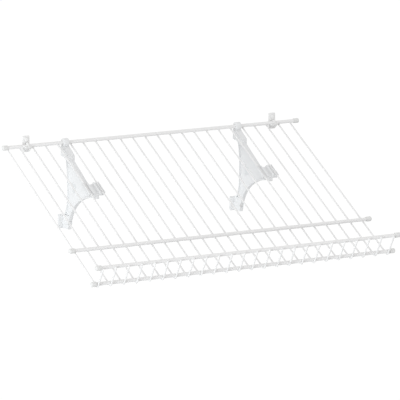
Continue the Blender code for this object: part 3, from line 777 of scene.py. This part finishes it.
class SHOESHELF_OT_wires(bpy.types.Operator):
    """Model one bent wire and copy it along the shelf"""

    bl_idname = "shoe_shelf.wires"
    bl_label = "Wires"

    def execute(self, context):
        shelf = context.scene.shoe_shelf
        strands = repeated(draw_wire(shelf.wire, shelf.rod, WIRE_XS[0]), WIRE_XS)
        for node, strand in zip(WIRE_NAMES, strands):
            strand.name = node.replace("wire", "strand")
            hand_over(strand, "shelf", coating_finish(), node)
        return {'FINISHED'}


# Rods and their welds
# Rings of a weld as shares of its reach and spread, with their heights over the rod and over the wire
WELD_FOOT = ((1.0, 0.62, -0.6 * MM), (0.86, 0.82, -0.05 * MM))
WELD_TOP = ((0.6, 1.0, 0.1 * MM), (0.45, 0.85, 0.6 * MM))


def draw_weld(sizes, wire):
    """One weld between a rod and a wire: wide along the rod at its foot, along the wire at its top."""
    rod_top = sizes.diameter / 2
    rings = [(sizes.weld_reach * along, sizes.weld_spread * across, base + rise)
             for base, ring in ((rod_top, WELD_FOOT), (rod_top + wire.gap, WELD_TOP))
             for along, across, rise in ring]
    pick()
    bpy.ops.mesh.primitive_circle_add(vertices=sizes.weld_sides, radius=1.0, fill_type='NGON')
    obj = opened("weld")
    reach, out, height = rings[0]
    bpy.ops.transform.resize(value=(reach, out, 1))
    bpy.ops.transform.translate(value=(0, 0, height))
    for (reach, out, low), (next_reach, next_out, high) in zip(rings, rings[1:]):
        push((0, 0, high - low))
        bpy.ops.transform.resize(value=(next_reach / reach, next_out / out, 1))
    close_edit()
    return settle(obj)


def weld_ways():
    """From each rod's axis, the way to the wires beside it."""
    corner = (LIP_OUT - DECK_UP).normalized()
    return {"rear": -DECK_UP, "middle": -DECK_UP, "front": corner, "lip": LIP_OUT}


def draw_rod(sizes, wire, name, way):
    """One rod along X with a weld at each wire."""
    low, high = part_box(f"rod_{name}")
    span = high.x - low.x
    radius = sizes.diameter / 2
    rim = radius - sizes.end_round
    axis = ROD_AXES[name]
    bar = draw_round("bar", [(rim, 0.0), (radius, sizes.end_round), (radius, span - sizes.end_round),
                             (rim, span)], sizes.sides)
    stand(bar, (low.x, axis.y, axis.z), ALONG_X)
    weld = draw_weld(sizes, wire)
    turned = Matrix((ALONG_X, ALONG_X.cross(way), way)).transposed().to_4x4()
    weld.matrix_world = Matrix.Translation((WIRE_XS[0], axis.y, axis.z)) @ turned
    return smooth(joined([bar] + repeated(settle(weld), WIRE_XS), f"bar_{name}"))


class SHOESHELF_OT_rods(bpy.types.Operator):
    """Model the four rods with the welds that hold the wires"""

    bl_idname = "shoe_shelf.rods"
    bl_label = "Rods and welds"

    def execute(self, context):
        shelf = context.scene.shoe_shelf
        for name, way in weld_ways().items():
            bar = draw_rod(shelf.rod, shelf.wire, name, way)
            hand_over(bar, "shelf", coating_finish(), f"rod_{name}")
        return {'FINISHED'}


# End caps
LIP_BULGE = 0.3


def draw_cap(sizes):
    """A cap along Z with its domed end up, hollow to take a rod's end."""
    radius = sizes.diameter / 2
    socket = radius - sizes.wall
    rings = []
    for i in range(1, sizes.dome_steps + 1):
        angle = pi / 2 * i / sizes.dome_steps
        rings.append((radius * sin(angle), sizes.reach - sizes.dome * (1 - cos(angle))))
    half_lip = sizes.lip / 2
    rings += [(radius, sizes.lip), (radius - half_lip * LIP_BULGE, half_lip), (radius - half_lip, 0.0),
              (socket + half_lip * LIP_BULGE, 0.0), (socket, half_lip),
              (socket, sizes.reach - sizes.end_wall)]
    return draw_round("cap", rings, sizes.sides)


class SHOESHELF_OT_caps(bpy.types.Operator):
    """Model an end cap and put one on each rod end"""

    bl_idname = "shoe_shelf.caps"
    bl_label = "End caps"

    def execute(self, context):
        sizes = context.scene.shoe_shelf.cap
        for name in ROD_NAMES:
            for side in SIDES:
                node = f"cap_{name}_{side}"
                low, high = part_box(node)
                axis = middle_of(node)
                way, mouth = (ALONG_X, low.x) if side == "right" else (-ALONG_X, high.x)
                cap = stand(draw_cap(sizes), (mouth, axis.y, axis.z), way)
                cap.name = f"end_{name}_{side}"
                hand_over(smooth(cap), "shelf", vinyl_finish(), node)
        return {'FINISHED'}


# Brackets
# Arm and leg: ends along and below the deck, depths from the wall, and reaches of the curves
ARM_START = (30.7 * MM, 11.4 * MM)
ARM_END = (138.0 * MM, 17.9 * MM)
ARM_TIP_HEIGHT = 3.6 * MM
POCKET_TIP_HEIGHT = 0.8 * MM
LEG_DEPTH = 22.1 * MM
LEG_BOW_DEPTH = 20.0 * MM
LEG_BOW_REACH = 13.0 * MM
LEG_END_RISE = 0.4 * MM
SOLID_LEG_HEIGHT = 26.0 * MM
NECK = (12.5 * MM, 24.0 * MM)
SWEEP_ARM = (60.0 * MM, 9.5 * MM)
SWEEP_LEG = (6.5 * MM, 38.5 * MM)
# Head, hook and bore, measured from the rear rod's axis or from the wall
HEAD_TOP = 6.0 * MM
HEAD_CROWN = 3.0 * MM
HEAD_FRONT = 25.8 * MM
HEAD_FRONT_TOP = 19.9 * MM
HEAD_FRONT_HEIGHT = 14.1 * MM
HEAD_BACK_HEIGHT = 18.6 * MM
HEAD_THROAT = (9.1 * MM, 1.5 * MM)
HEAD_BACK_CLEARANCE = 0.6 * MM
HOOK_BACK_CLEARANCE = 0.4 * MM
HOOK_SLOT = (3.0 * MM, 0.6 * MM)
ROD_CLEARANCE = 0.05 * MM
BORE_FLARE = 0.2 * MM
BORE_REACH = 20.0 * MM
BORE_SIDES = 64
BLOCK_EDGE_SHARE = 1.4
# Wedge and saddle, measured from the wires' centres
BASE_HALF_WIDTH = 4.5 * MM
BASE_NOSE = (4.3 * MM, 9.4 * MM)
BASE_HEEL = (10.0 * MM, 14.9 * MM)
SADDLE_DEPTH = 5.6 * MM
SADDLE_SHOULDER = 4.1 * MM
SADDLE_TROUGH = (3.4 * MM, 3.0 * MM)
SADDLE_RIDGE = (4.6 * MM, 3.4 * MM, 1.4 * MM)
SADDLE_CHAMFER = 0.4 * MM
SADDLE_NOTCH = (0.8 * MM, 1.2 * MM)
SADDLE_JAW = 1.9 * MM
SADDLE_MARGIN = 3.3 * MM
SADDLE_CATCH = 2.3 * MM
SADDLE_EDGE = 0.25 * MM
GROOVE_WRAP = radians(20)
GROOVE_STEPS = 16
# Foot, boss and screw hole
PAD_CORNER = 1.2 * MM
SCREW_RISE = 12.5 * MM
BOSS_SPREAD = 0.6 * MM
BOSS_DRAFT = 0.1 * MM
COUNTERBORE_DEPTH = 3.0 * MM
COUNTERBORE_CLEARANCE = 0.08 * MM
HOLE_CLEARANCE = 0.3 * MM
ROUND_SIDES = 40
# Recess and pits in the web, forward of the rear rod and above the foot
RECESS_FORWARD = 38.0 * MM
RECESS_RISE = 80.9 * MM
RECESS_SIZE = (14.0 * MM, 15.5 * MM)
RECESS_DEPTH = 0.4 * MM
RECESS_CORNER = 1.6 * MM
PIT_DIAMETER = 3.0 * MM
PIT_DEPTH = 0.8 * MM
PIT_INSET = 3.4 * MM
PIT_SPACING = 18.0 * MM
PIT_SIDES = 24


def arm_outline(sizes):
    """The arm and leg in side view: the straight top, the hollow curve to the foot, the bowed back."""
    top = [on_deck(ARM_START[0], -ARM_START[1]), on_deck(ARM_END[0], -ARM_END[1])]
    tip = on_deck(ARM_END[0], -ARM_END[1] - ARM_TIP_HEIGHT)
    back = WALL_TO_ROD - sizes.pad_thickness / 2
    foot = BRACKET_FOOT + LEG_END_RISE
    toe = (WALL_TO_ROD - LEG_DEPTH, foot)
    sweep = bezier((tip, (tip[0] + SWEEP_ARM[0], tip[1] - SWEEP_ARM[1]),
                    (toe[0] - SWEEP_LEG[0], toe[1] + SWEEP_LEG[1]), toe), sizes.curve_steps)
    knee = (back, BRACKET_FOOT + sizes.pad)
    bow = WALL_TO_ROD - LEG_BOW_DEPTH
    neck = (WALL_TO_ROD - NECK[0], -NECK[1])
    waist = (bow, (knee[1] + neck[1]) / 2)
    half = sizes.curve_steps // 2
    lower = bezier((knee, (bow, knee[1]), (bow, waist[1] - LEG_BOW_REACH), waist), half)
    upper = bezier((waist, (bow, waist[1] + LEG_BOW_REACH), (bow, neck[1] - LEG_BOW_REACH), neck), half)
    return top + sweep + [(back, foot)] + lower + upper[1:]


def above_level(path, level):
    """The part of an open path above a height, ended on that height where the path crosses it."""
    kept = []
    for before, point in zip(path[:1] + path, path):
        if (before[1] > level) != (point[1] > level):
            passed = (level - before[1]) / (point[1] - before[1])
            kept.append((before[0] + (point[0] - before[0]) * passed, level))
        if point[1] > level:
            kept.append(point)
    return kept


def pocket_outline(sizes):
    """The outline drawn in by the flanges, ended above the foot and where the arm grows too thin."""
    inner = drawn_in(arm_outline(sizes), sizes.flange)
    start = Vector(inner[0])
    along = (Vector(inner[1]) - start).normalized()
    kept = [point for point in inner[2:] if along.cross(Vector(point) - start) > POCKET_TIP_HEIGHT]
    tip = start + along * along.dot(Vector(kept[0]) - start)
    return [tuple(start), tuple(tip)] + above_level(kept, BRACKET_FOOT + SOLID_LEG_HEIGHT)


def draw_arm(sizes, x):
    """The arm and leg, with a filleted pocket in each side down to the web."""
    half = sizes.flange_half
    body = draw_solid("arm", from_side(x - half, arm_outline(sizes)), (2 * half, 0, 0))
    soften(body, sizes.edge)
    pockets = []
    for way in (-1, 1):
        floor = x + way * sizes.web_half
        pocket = draw_solid("pocket", from_side(floor, pocket_outline(sizes)), (way * half, 0, 0))
        soften(pocket, sizes.fillet,
               lambda edge: all(abs(vert.co.x - floor) < SAME_PLACE for vert in edge.verts))
        pockets.append(pocket)
    combine(body, pockets, 'DIFFERENCE')
    return combine(body, draw_recesses(sizes, x), 'DIFFERENCE')


def draw_recesses(sizes, x):
    """Tools for the shallow recess and the two pits in each side of the web."""
    out, up = -RECESS_FORWARD, BRACKET_FOOT + RECESS_RISE
    half_out, half_up = RECESS_SIZE[0] / 2, RECESS_SIZE[1] / 2
    corners = rectangle((out - half_out, up - half_up), (out + half_out, up + half_up))
    reach = sizes.flange_half / 2
    tools = []
    for way in (-1, 1):
        floor = x + way * (sizes.web_half - RECESS_DEPTH)
        tool = draw_solid("recess", from_side(floor, corners), (way * reach, 0, 0))
        tools.append(soften(tool, RECESS_CORNER, runs_along('x'), steps=4))
        pit_floor = x + way * (sizes.web_half - PIT_DEPTH)
        for end in (-1, 1):
            pit = draw_round("pit", [(PIT_DIAMETER / 2, 0.0), (PIT_DIAMETER / 2, reach)], PIT_SIDES)
            centre = (out + half_out - PIT_INSET, up + end * PIT_SPACING / 2)
            tools.append(stand(pit, from_side(pit_floor, [centre])[0], (way, 0, 0)))
    return tools


def head_outline():
    """The block below the hook, between the wall and the start of the arm."""
    back = WALL_TO_ROD - HEAD_BACK_CLEARANCE
    lower = -HEAD_TOP - HEAD_BACK_HEIGHT
    return [(back, -HEAD_TOP), (back, lower), (-HEAD_THROAT[0], lower - HEAD_THROAT[1]),
            (-HEAD_FRONT, -HEAD_FRONT_TOP - HEAD_FRONT_HEIGHT), (-HEAD_FRONT, -HEAD_FRONT_TOP),
            (-HEAD_CROWN, -HEAD_TOP)]


def hook_outline(sizes, rod):
    """A disc round the rod, cut flat just off the wall."""
    radius = rod.diameter / 2 + ROD_CLEARANCE + sizes.hook_wall
    flat = acos((WALL_TO_ROD - HOOK_BACK_CLEARANCE) / radius)
    return arc((0, 0), radius, flat, 2 * pi - flat, BORE_SIDES)


def base_outline(sizes, offset):
    """The wedge that carries the saddle on the arm's end."""
    under = offset + SADDLE_DEPTH - sizes.flange / 2
    front = sizes.saddle_start + sizes.saddle_length
    sunk = sizes.flange / 2
    return [on_deck(sizes.saddle_start + sunk, sunk - under),
            on_deck(sizes.saddle_start, -under - sunk / 2),
            on_deck(front - BASE_HEEL[0], -offset - BASE_HEEL[1]),
            on_deck(front + BASE_NOSE[0], -offset - BASE_NOSE[1]),
            on_deck(front - sunk, sunk - under)]


def saddle_outline(wire):
    """The saddle's section across the deck, heights taken from the wires' centres."""
    groove = WIRE_PITCH / 2
    inner, width, height = SADDLE_RIDGE
    jaw_top = height - SADDLE_CHAMFER
    ridge = inner + width
    radius = wire.diameter / 2
    notch = groove - SADDLE_JAW - radius
    edge = groove + SADDLE_MARGIN
    half = [(SADDLE_TROUGH[0], -SADDLE_TROUGH[1]), (inner, jaw_top), (inner + SADDLE_CHAMFER, height),
            (ridge - SADDLE_CHAMFER, height), (ridge, jaw_top), (notch - SADDLE_NOTCH[0], -SADDLE_NOTCH[1]),
            (notch, -SADDLE_NOTCH[1]), (groove - SADDLE_JAW - SADDLE_CHAMFER, jaw_top)]
    half += arc((groove, 0), radius + wire.gap, pi - GROOVE_WRAP, 2 * pi + GROOVE_WRAP,
                GROOVE_STEPS)
    half += [(groove + SADDLE_JAW, height), (groove + SADDLE_JAW + SADDLE_CHAMFER, SADDLE_CATCH),
             (edge - SADDLE_CHAMFER, SADDLE_CATCH), (edge, SADDLE_CATCH - SADDLE_CHAMFER),
             (edge, -SADDLE_SHOULDER), (edge - (SADDLE_DEPTH - SADDLE_SHOULDER), -SADDLE_DEPTH)]
    return [(-out, up) for out, up in reversed(half)] + half


def draw_saddle(sizes, wire, offset, x):
    """The saddle, standing in the deck's slope under two wires."""
    start = REAR + DECK_WAY * sizes.saddle_start - DECK_UP * offset
    points = [start + ALONG_X * (x + out) + DECK_UP * up for out, up in saddle_outline(wire)]
    saddle = draw_solid("saddle", points, DECK_WAY * sizes.saddle_length)

    def on_an_end(edge):
        depths = [(vert.co - start).dot(DECK_WAY) for vert in edge.verts]
        return any(all(abs(depth - end) < SAME_PLACE for depth in depths)
                   for end in (0.0, sizes.saddle_length))

    return soften(saddle, SADDLE_EDGE, on_an_end, steps=2)


def draw_foot(sizes, x):
    """The pad on the wall and the boss for its screw, with soft edges."""
    half = sizes.pad / 2
    pad_front = WALL_TO_ROD - sizes.pad_thickness
    corners = rectangle((pad_front, BRACKET_FOOT), (WALL_TO_ROD, BRACKET_FOOT + sizes.pad))
    pad = draw_solid("pad", from_side(x - half, corners), (2 * half, 0, 0))
    soften(pad, PAD_CORNER, runs_along('y'))
    soften(pad, sizes.edge, stands_before(REAR.y + pad_front + SAME_PLACE))
    radius = sizes.boss_diameter / 2
    sunk = sizes.pad_thickness / 2
    reach = sizes.boss_length - sunk
    boss = draw_round("boss", [(radius + BOSS_SPREAD, 0.0), (radius, sizes.pad_thickness),
                               (radius - BOSS_DRAFT, reach - sizes.edge), (radius - sizes.edge, reach)],
                      ROUND_SIDES)
    stand(boss, (x, WALL_Y - sunk, REAR.z + BRACKET_FOOT + SCREW_RISE), TOWARDS_FRONT)
    return [pad, boss]


def draw_bore(radius, half, flare, x):
    """A tool for a bore round the rear rod, wider where it leaves the piece."""
    wide = radius + flare
    bore = draw_round("bore", [(wide, -BORE_REACH), (wide, -half), (radius, flare - half),
                               (radius, half - flare), (wide, half), (wide, BORE_REACH)], BORE_SIDES)
    return stand(bore, (x, REAR.y, REAR.z), ALONG_X)


def draw_bracket_cuts(sizes, rod, fastener, x):
    """Tools for the rod's bore, the slot behind it, and the screw's hole."""
    bore = draw_bore(rod.diameter / 2 + ROD_CLEARANCE, sizes.hook_half, BORE_FLARE, x)
    reach = 2 * sizes.head_half
    corners = rectangle((rod.diameter / 4, -HOOK_SLOT[0]), (2 * WALL_TO_ROD, HOOK_SLOT[1]))
    slot = draw_solid("slot", from_side(x - reach, corners), (2 * reach, 0, 0))
    hole_radius = fastener.screw_shank / 2 + HOLE_CLEARANCE
    sink_radius = fastener.screw_head / 2 + COUNTERBORE_CLEARANCE
    mouth = sizes.boss_length
    seat = mouth - COUNTERBORE_DEPTH
    hole = draw_round("hole", [(hole_radius, -mouth), (hole_radius, seat), (sink_radius, seat),
                               (sink_radius, mouth - BORE_FLARE), (sink_radius + BORE_FLARE, mouth),
                               (sink_radius + BORE_FLARE, 2 * mouth)], ROUND_SIDES)
    stand(hole, (x, WALL_Y, REAR.z + BRACKET_FOOT + SCREW_RISE), TOWARDS_FRONT)
    return [bore, slot, hole]


def draw_bracket(shelf, x):
    """One bracket: arm and leg, head, hook, wedge, saddle and foot in one moulding."""
    sizes = shelf.bracket
    offset = wire_offset(shelf.wire, shelf.rod)
    body = draw_arm(sizes, x)
    blocks = []
    for name, half, outline in (("head", sizes.head_half, head_outline()),
                                ("hook", sizes.hook_half, hook_outline(sizes, shelf.rod)),
                                ("wedge", BASE_HALF_WIDTH, base_outline(sizes, offset))):
        block = draw_solid(name, from_side(x - half, outline), (2 * half, 0, 0))
        blocks.append(soften(block, sizes.edge * BLOCK_EDGE_SHARE))
    saddle = draw_saddle(sizes, shelf.wire, offset, x)
    combine(body, [*blocks, saddle, *draw_foot(sizes, x)], 'UNION')
    combine(body, draw_bracket_cuts(sizes, shelf.rod, shelf.fastener, x), 'DIFFERENCE')
    return smooth(body)


class SHOESHELF_OT_brackets(bpy.types.Operator):
    """Model a support bracket and copy it to the other side"""

    bl_idname = "shoe_shelf.brackets"
    bl_label = "Brackets"

    def execute(self, context):
        first = draw_bracket(context.scene.shoe_shelf, BRACKET_XS["left"])
        hand_over_pair(first, BRACKET_XS, "moulding", "bracket", bracket_finish())
        return {'FINISHED'}


# Screws and pins
# Rims as shares of a head's height, and tips as a share of the shank with their own length
SCREW_RIM_SHARE = 0.4
SCREW_DOME_STEPS = 7
SCREW_TIP = (0.8, 0.5 * MM)
PIN_RIM_SHARE = 0.45
PIN_DOME_STEPS = 8
PIN_TIP = (0.9, 0.3 * MM)
PIN_UNDERCUT = (0.2 * MM, 0.25 * MM)
PIN_SIDES = 36


def shank_rings(diameter, reach, tip):
    """Rings of a shank, narrower at its tip, up to the underside of the head."""
    radius = diameter / 2
    return [(radius * tip[0], -reach), (radius, tip[1] - reach), (radius, 0.0)]


def head_rings(diameter, height, rim_share, steps):
    """Rings of a round head, from its rim to the last one short of its middle."""
    radius = diameter / 2
    angles = [pi / 2 * i / steps for i in range(steps)]
    return [(radius * cos(a), height * (rim_share + (1 - rim_share) * sin(a))) for a in angles]


def draw_screw(sizes, reach):
    """A pan-head screw along Z, the underside of its head at the origin."""
    rings = shank_rings(sizes.screw_shank, reach, SCREW_TIP) + [(sizes.screw_head / 2, 0.0)]
    rings += head_rings(sizes.screw_head, sizes.screw_height, SCREW_RIM_SHARE, SCREW_DOME_STEPS)
    head = draw_round("screw", rings, ROUND_SIDES)
    long, wide = sizes.slot_length / 2, sizes.slot_width / 2
    floor = sizes.screw_height - sizes.slot_depth
    arms = []
    for out, across in ((long, wide), (wide, long)):
        corners = [Vector((*corner, floor)) for corner in rectangle((-out, -across), (out, across))]
        arms.append(draw_solid("cross", corners, (0, 0, sizes.screw_height)))
    return combine(head, arms, 'DIFFERENCE')


def draw_pin(sizes, reach):
    """A round-headed pin along Z, the underside of its head at the origin."""
    radius = sizes.pin_head / 2
    rings = shank_rings(sizes.pin_shank, reach, PIN_TIP)
    rings += [(radius - PIN_UNDERCUT[0], 0.0), (radius, PIN_UNDERCUT[1])]
    rings += head_rings(sizes.pin_head, sizes.pin_height, PIN_RIM_SHARE, PIN_DOME_STEPS)
    return draw_round("pin", rings, PIN_SIDES)


def place_fasteners(draw, sizes, head_height, name, node, material):
    """One fastener on each side, with its head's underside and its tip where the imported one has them."""
    for side in SIDES:
        low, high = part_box(f"{node}_{side}")
        centre = (low + high) / 2
        seat = low.y + head_height
        fastener = stand(draw(sizes, high.y - seat), (centre.x, seat, centre.z), TOWARDS_FRONT)
        fastener.name = f"{name}_{side}"
        hand_over(smooth(fastener), "wall_supports", material, f"{node}_{side}")


class SHOESHELF_OT_screws(bpy.types.Operator):
    """Model the screw in each bracket's foot"""

    bl_idname = "shoe_shelf.screws"
    bl_label = "Screws"

    def execute(self, context):
        sizes = context.scene.shoe_shelf.fastener
        place_fasteners(draw_screw, sizes, sizes.screw_height, "fixing", "screw",
                        screw_finish())
        return {'FINISHED'}


class SHOESHELF_OT_pins(bpy.types.Operator):
    """Model the pin in each wall clip"""

    bl_idname = "shoe_shelf.pins"
    bl_label = "Clip pins"

    def execute(self, context):
        sizes = context.scene.shoe_shelf.fastener
        place_fasteners(draw_pin, sizes, sizes.pin_height, "rivet", "pin",
                        clip_finish_painted_lighter())
        return {'FINISHED'}


# Wall clips
CLIP_LIP_DROP = 0.6 * MM
CLIP_LIP_HEIGHT = 1.2 * MM
CLIP_TOE_RISE = 2.4 * MM
CLIP_TAPER = 1.8 * MM
CLIP_CORNER = 1.0 * MM
CLIP_BORE_FLARE = 0.3 * MM
TONGUE_GAP = 0.5 * MM
TONGUE_ROOT = radians(200)
TONGUE_STEPS = 24
TONGUE_EDGE_SHARE = 0.8
PIN_HOLE_SIDES = 32


def clip_outline(sizes, bore):
    """The clip in side view: a back plate, and a hook that the rear rod lies in."""
    front = WALL_TO_ROD - sizes.plate
    lip = -bore - sizes.wall
    return [(WALL_TO_ROD, -sizes.drop + CLIP_TOE_RISE), (WALL_TO_ROD, sizes.rise), (front, sizes.rise),
            (front, 0.0), (0.0, 0.0), (lip, -CLIP_LIP_DROP), (lip, -CLIP_LIP_DROP - CLIP_LIP_HEIGHT),
            (front - CLIP_TOE_RISE / 2, -sizes.drop), (front, -sizes.drop)]


def clip_front(sizes, bore):
    """The clip in front view, narrower towards its lower end."""
    half = [(sizes.half_width - CLIP_TAPER, -sizes.drop), (sizes.half_width, -bore - CLIP_LIP_HEIGHT),
            (sizes.half_width, sizes.rise - CLIP_CORNER), (sizes.half_width - CLIP_CORNER, sizes.rise)]
    return half + [(-out, up) for out, up in reversed(half)]


def draw_tongue(sizes, rod, bore, x):
    """The spring tongue that curls round the rod from below."""
    outer = bore + sizes.tongue
    end = acos((WALL_TO_ROD - sizes.plate - TONGUE_GAP) / outer)
    curl = arc((0, 0), outer, TONGUE_ROOT, end, TONGUE_STEPS)
    curl += arc((0, 0), rod.diameter / 2, end, TONGUE_ROOT, TONGUE_STEPS)
    tongue = draw_solid("tongue", from_side(x - sizes.tongue_half, curl), (2 * sizes.tongue_half, 0, 0))
    return soften(tongue, sizes.edge * TONGUE_EDGE_SHARE, steps=2)


def draw_clip(sizes, rod, fastener, x):
    """One wall clip with its spring tongue, bored for the rod and its pin."""
    bore = rod.diameter / 2 + ROD_CLEARANCE
    half = sizes.half_width
    body = draw_solid("clip", from_side(x - half, clip_outline(sizes, bore)), (2 * half, 0, 0))
    reach = 4 * half
    front = [Vector((x + out, REAR.y + reach / 2, REAR.z + up)) for out, up in clip_front(sizes, bore)]
    combine(body, [draw_solid("front", front, (0, -reach, 0))], 'INTERSECT')
    soften(body, sizes.edge, stands_before(WALL_Y - SAME_PLACE), steps=2)
    combine(body, [draw_tongue(sizes, rod, bore, x)], 'UNION')
    cut = draw_bore(bore, half, CLIP_BORE_FLARE, x)
    pin_radius = fastener.pin_shank / 2 + HOLE_CLEARANCE
    hole = draw_round("pin_hole", [(pin_radius, -half), (pin_radius, half)], PIN_HOLE_SIDES)
    stand(hole, (x, WALL_Y, REAR.z + fastener.pin_rise), TOWARDS_FRONT)
    return smooth(combine(body, [cut, hole], 'DIFFERENCE'))


class SHOESHELF_OT_clips(bpy.types.Operator):
    """Model a wall clip and copy it to the other side"""

    bl_idname = "shoe_shelf.clips"
    bl_label = "Wall clips"

    def execute(self, context):
        shelf = context.scene.shoe_shelf
        first = draw_clip(shelf.clip, shelf.rod, shelf.fastener, CLIP_XS["left"])
        hand_over_pair(first, CLIP_XS, "wall_hook", "clip", clip_finish_painted_lighter())
        return {'FINISHED'}


# Studio
LOOK_AT = Vector((0.01887, -0.1565, -0.0987))
FRAME_WIDTH = 36.0
FAR_LIMIT = 100.0
FLOOR_COLOUR = (0.6, 0.6, 0.6, 1)
FLOOR_GLOW = 0.5
SEEN_WHITE = 1.0
WHITE = (1.0, 1.0, 1.0)
COOL_WHITE = (0.93, 0.975, 1.0)
# Each lamp's place, and its width
LEFT_LAMP = ((-4.7, -2.0, -0.9), 2.0)
FRONT_LAMP = ((0.8, -10.0, -1.0), 3.0)


def seen_ray(tree):
    """One where a ray comes from the camera, a reflection or through glass."""
    rays = tree.nodes.new('ShaderNodeLightPath').outputs
    seen = rays["Is Camera Ray"]
    for label in ("Is Glossy Ray", "Is Transmission Ray"):
        seen = computed(tree, MATH, 'MAXIMUM', seen, rays[label])[0]
    return seen


def floor_finish():
    """A pale floor that looks white and still takes a shadow."""
    material = bpy.data.materials.new("pale_floor")
    material.use_nodes = True
    tree = material.node_tree
    tree.nodes.clear()
    paint = feed_all(tree, tree.nodes.new('ShaderNodeBsdfDiffuse'), {"Color": FLOOR_COLOUR})
    strength = computed(tree, MATH, 'MULTIPLY', seen_ray(tree), FLOOR_GLOW)[0]
    glow = feed_all(tree, tree.nodes.new('ShaderNodeEmission'), {"Strength": strength})
    both = tree.nodes.new('ShaderNodeAddShader')
    for socket, light in zip(both.inputs, (paint[0], glow[0])):
        tree.links.new(light, socket)
    feed_all(tree, tree.nodes.new('ShaderNodeOutputMaterial'), {"Surface": both.outputs[0]})
    return material


def light_world(strength):
    """An even white surround, seen as white."""
    world = bpy.data.worlds.new("studio")
    world.use_nodes = True
    bpy.context.scene.world = world
    tree = world.node_tree
    tree.nodes.clear()
    mix = tree.nodes.new('ShaderNodeMixShader')
    tree.links.new(seen_ray(tree), mix.inputs["Fac"])
    for socket, power in zip(mix.inputs[1:], (strength, SEEN_WHITE)):
        light = tree.nodes.new('ShaderNodeBackground')
        tree.links.new(feed_all(tree, light, {"Color": (*WHITE, 1), "Strength": power})[0], socket)
    feed_all(tree, tree.nodes.new('ShaderNodeOutputWorld'), {"Surface": mix.outputs[0]})


def hang_lamp(name, lamp_place, power, tint):
    """A square soft lamp that faces the shelf."""
    place, size = lamp_place
    pick()
    bpy.ops.object.light_add(type='AREA', location=place)
    lamp = bpy.context.object
    lamp.name = name
    lamp.rotation_euler = (LOOK_AT - Vector(place)).to_track_quat('-Z', 'Y').to_euler()
    lamp.data.shape = 'SQUARE'
    lamp.data.size = size
    lamp.data.energy = power
    lamp.data.color = tint


def place_camera(sizes):
    """The camera at the photograph's angle, looking a little down from the front left."""
    flat = cos(sizes.camera_tilt)
    way = Vector((sin(sizes.camera_turn) * flat, cos(sizes.camera_turn) * flat, -sin(sizes.camera_tilt)))
    pick()
    bpy.ops.object.camera_add(location=LOOK_AT - way * sizes.camera_distance,
                              rotation=way.to_track_quat('-Z', 'Y').to_euler())
    camera = bpy.context.object
    camera.data.sensor_width = FRAME_WIDTH
    camera.data.lens = sizes.lens
    camera.data.clip_end = FAR_LIMIT
    bpy.context.scene.camera = camera


class SHOESHELF_OT_studio(bpy.types.Operator):
    """Lay the floor, hang the lamps and set the camera"""

    bl_idname = "shoe_shelf.studio"
    bl_label = "Studio"

    def execute(self, context):
        sizes = context.scene.shoe_shelf.studio
        pick()
        bpy.ops.mesh.primitive_plane_add(size=sizes.floor_size, location=(0, 0, REAR.z - sizes.floor_drop))
        floor = bpy.context.object
        floor.name = "studio_floor"
        floor.data.materials.append(floor_finish())
        light_world(sizes.world_light)
        hang_lamp("left_lamp", LEFT_LAMP, sizes.left_light, COOL_WHITE)
        hang_lamp("front_lamp", FRONT_LAMP, sizes.front_light, WHITE)
        place_camera(sizes)
        context.scene.view_settings.view_transform = 'Standard'
        return {'FINISHED'}


class SHOESHELF_PT_sidebar(bpy.types.Panel):
    """The shelf's sizes, and a button for each group of pieces"""

    bl_idname = "SHOESHELF_PT_sidebar"
    bl_label = "Shoe shelf"
    bl_space_type = 'VIEW_3D'
    bl_region_type = 'UI'
    bl_category = "Shoe shelf"

    def draw(self, context):
        shelf = context.scene.shoe_shelf
        for name in ShoeShelf.__annotations__:
            group = getattr(shelf, name)
            box = self.layout.box()
            box.label(text=name.capitalize())
            for size in type(group).__annotations__:
                box.prop(group, size)
        for operator in OPERATORS:
            self.layout.operator(operator.bl_idname)


OPERATORS = (SHOESHELF_OT_wires, SHOESHELF_OT_rods, SHOESHELF_OT_caps, SHOESHELF_OT_brackets,
             SHOESHELF_OT_screws, SHOESHELF_OT_clips, SHOESHELF_OT_pins, SHOESHELF_OT_studio)
SETTINGS = (ShelfFinish, WireSizes, RodSizes, CapSizes, BracketSizes, FastenerSizes, ClipSizes, StudioSizes,
            ShoeShelf)


def register():
    for item in (*SETTINGS, *OPERATORS, SHOESHELF_PT_sidebar):
        bpy.utils.register_class(item)
    bpy.types.Scene.shoe_shelf = PointerProperty(type=ShoeShelf)


def unregister():
    del bpy.types.Scene.shoe_shelf
    for item in reversed((*SETTINGS, *OPERATORS, SHOESHELF_PT_sidebar)):
        bpy.utils.unregister_class(item)


def main():
    register()
    bpy.ops.shoe_shelf.wires()
    bpy.ops.shoe_shelf.rods()
    bpy.ops.shoe_shelf.caps()
    bpy.ops.shoe_shelf.brackets()
    bpy.ops.shoe_shelf.screws()
    bpy.ops.shoe_shelf.clips()
    bpy.ops.shoe_shelf.pins()
    bpy.ops.shoe_shelf.studio()
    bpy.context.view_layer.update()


if __name__ == "__main__":
    main()
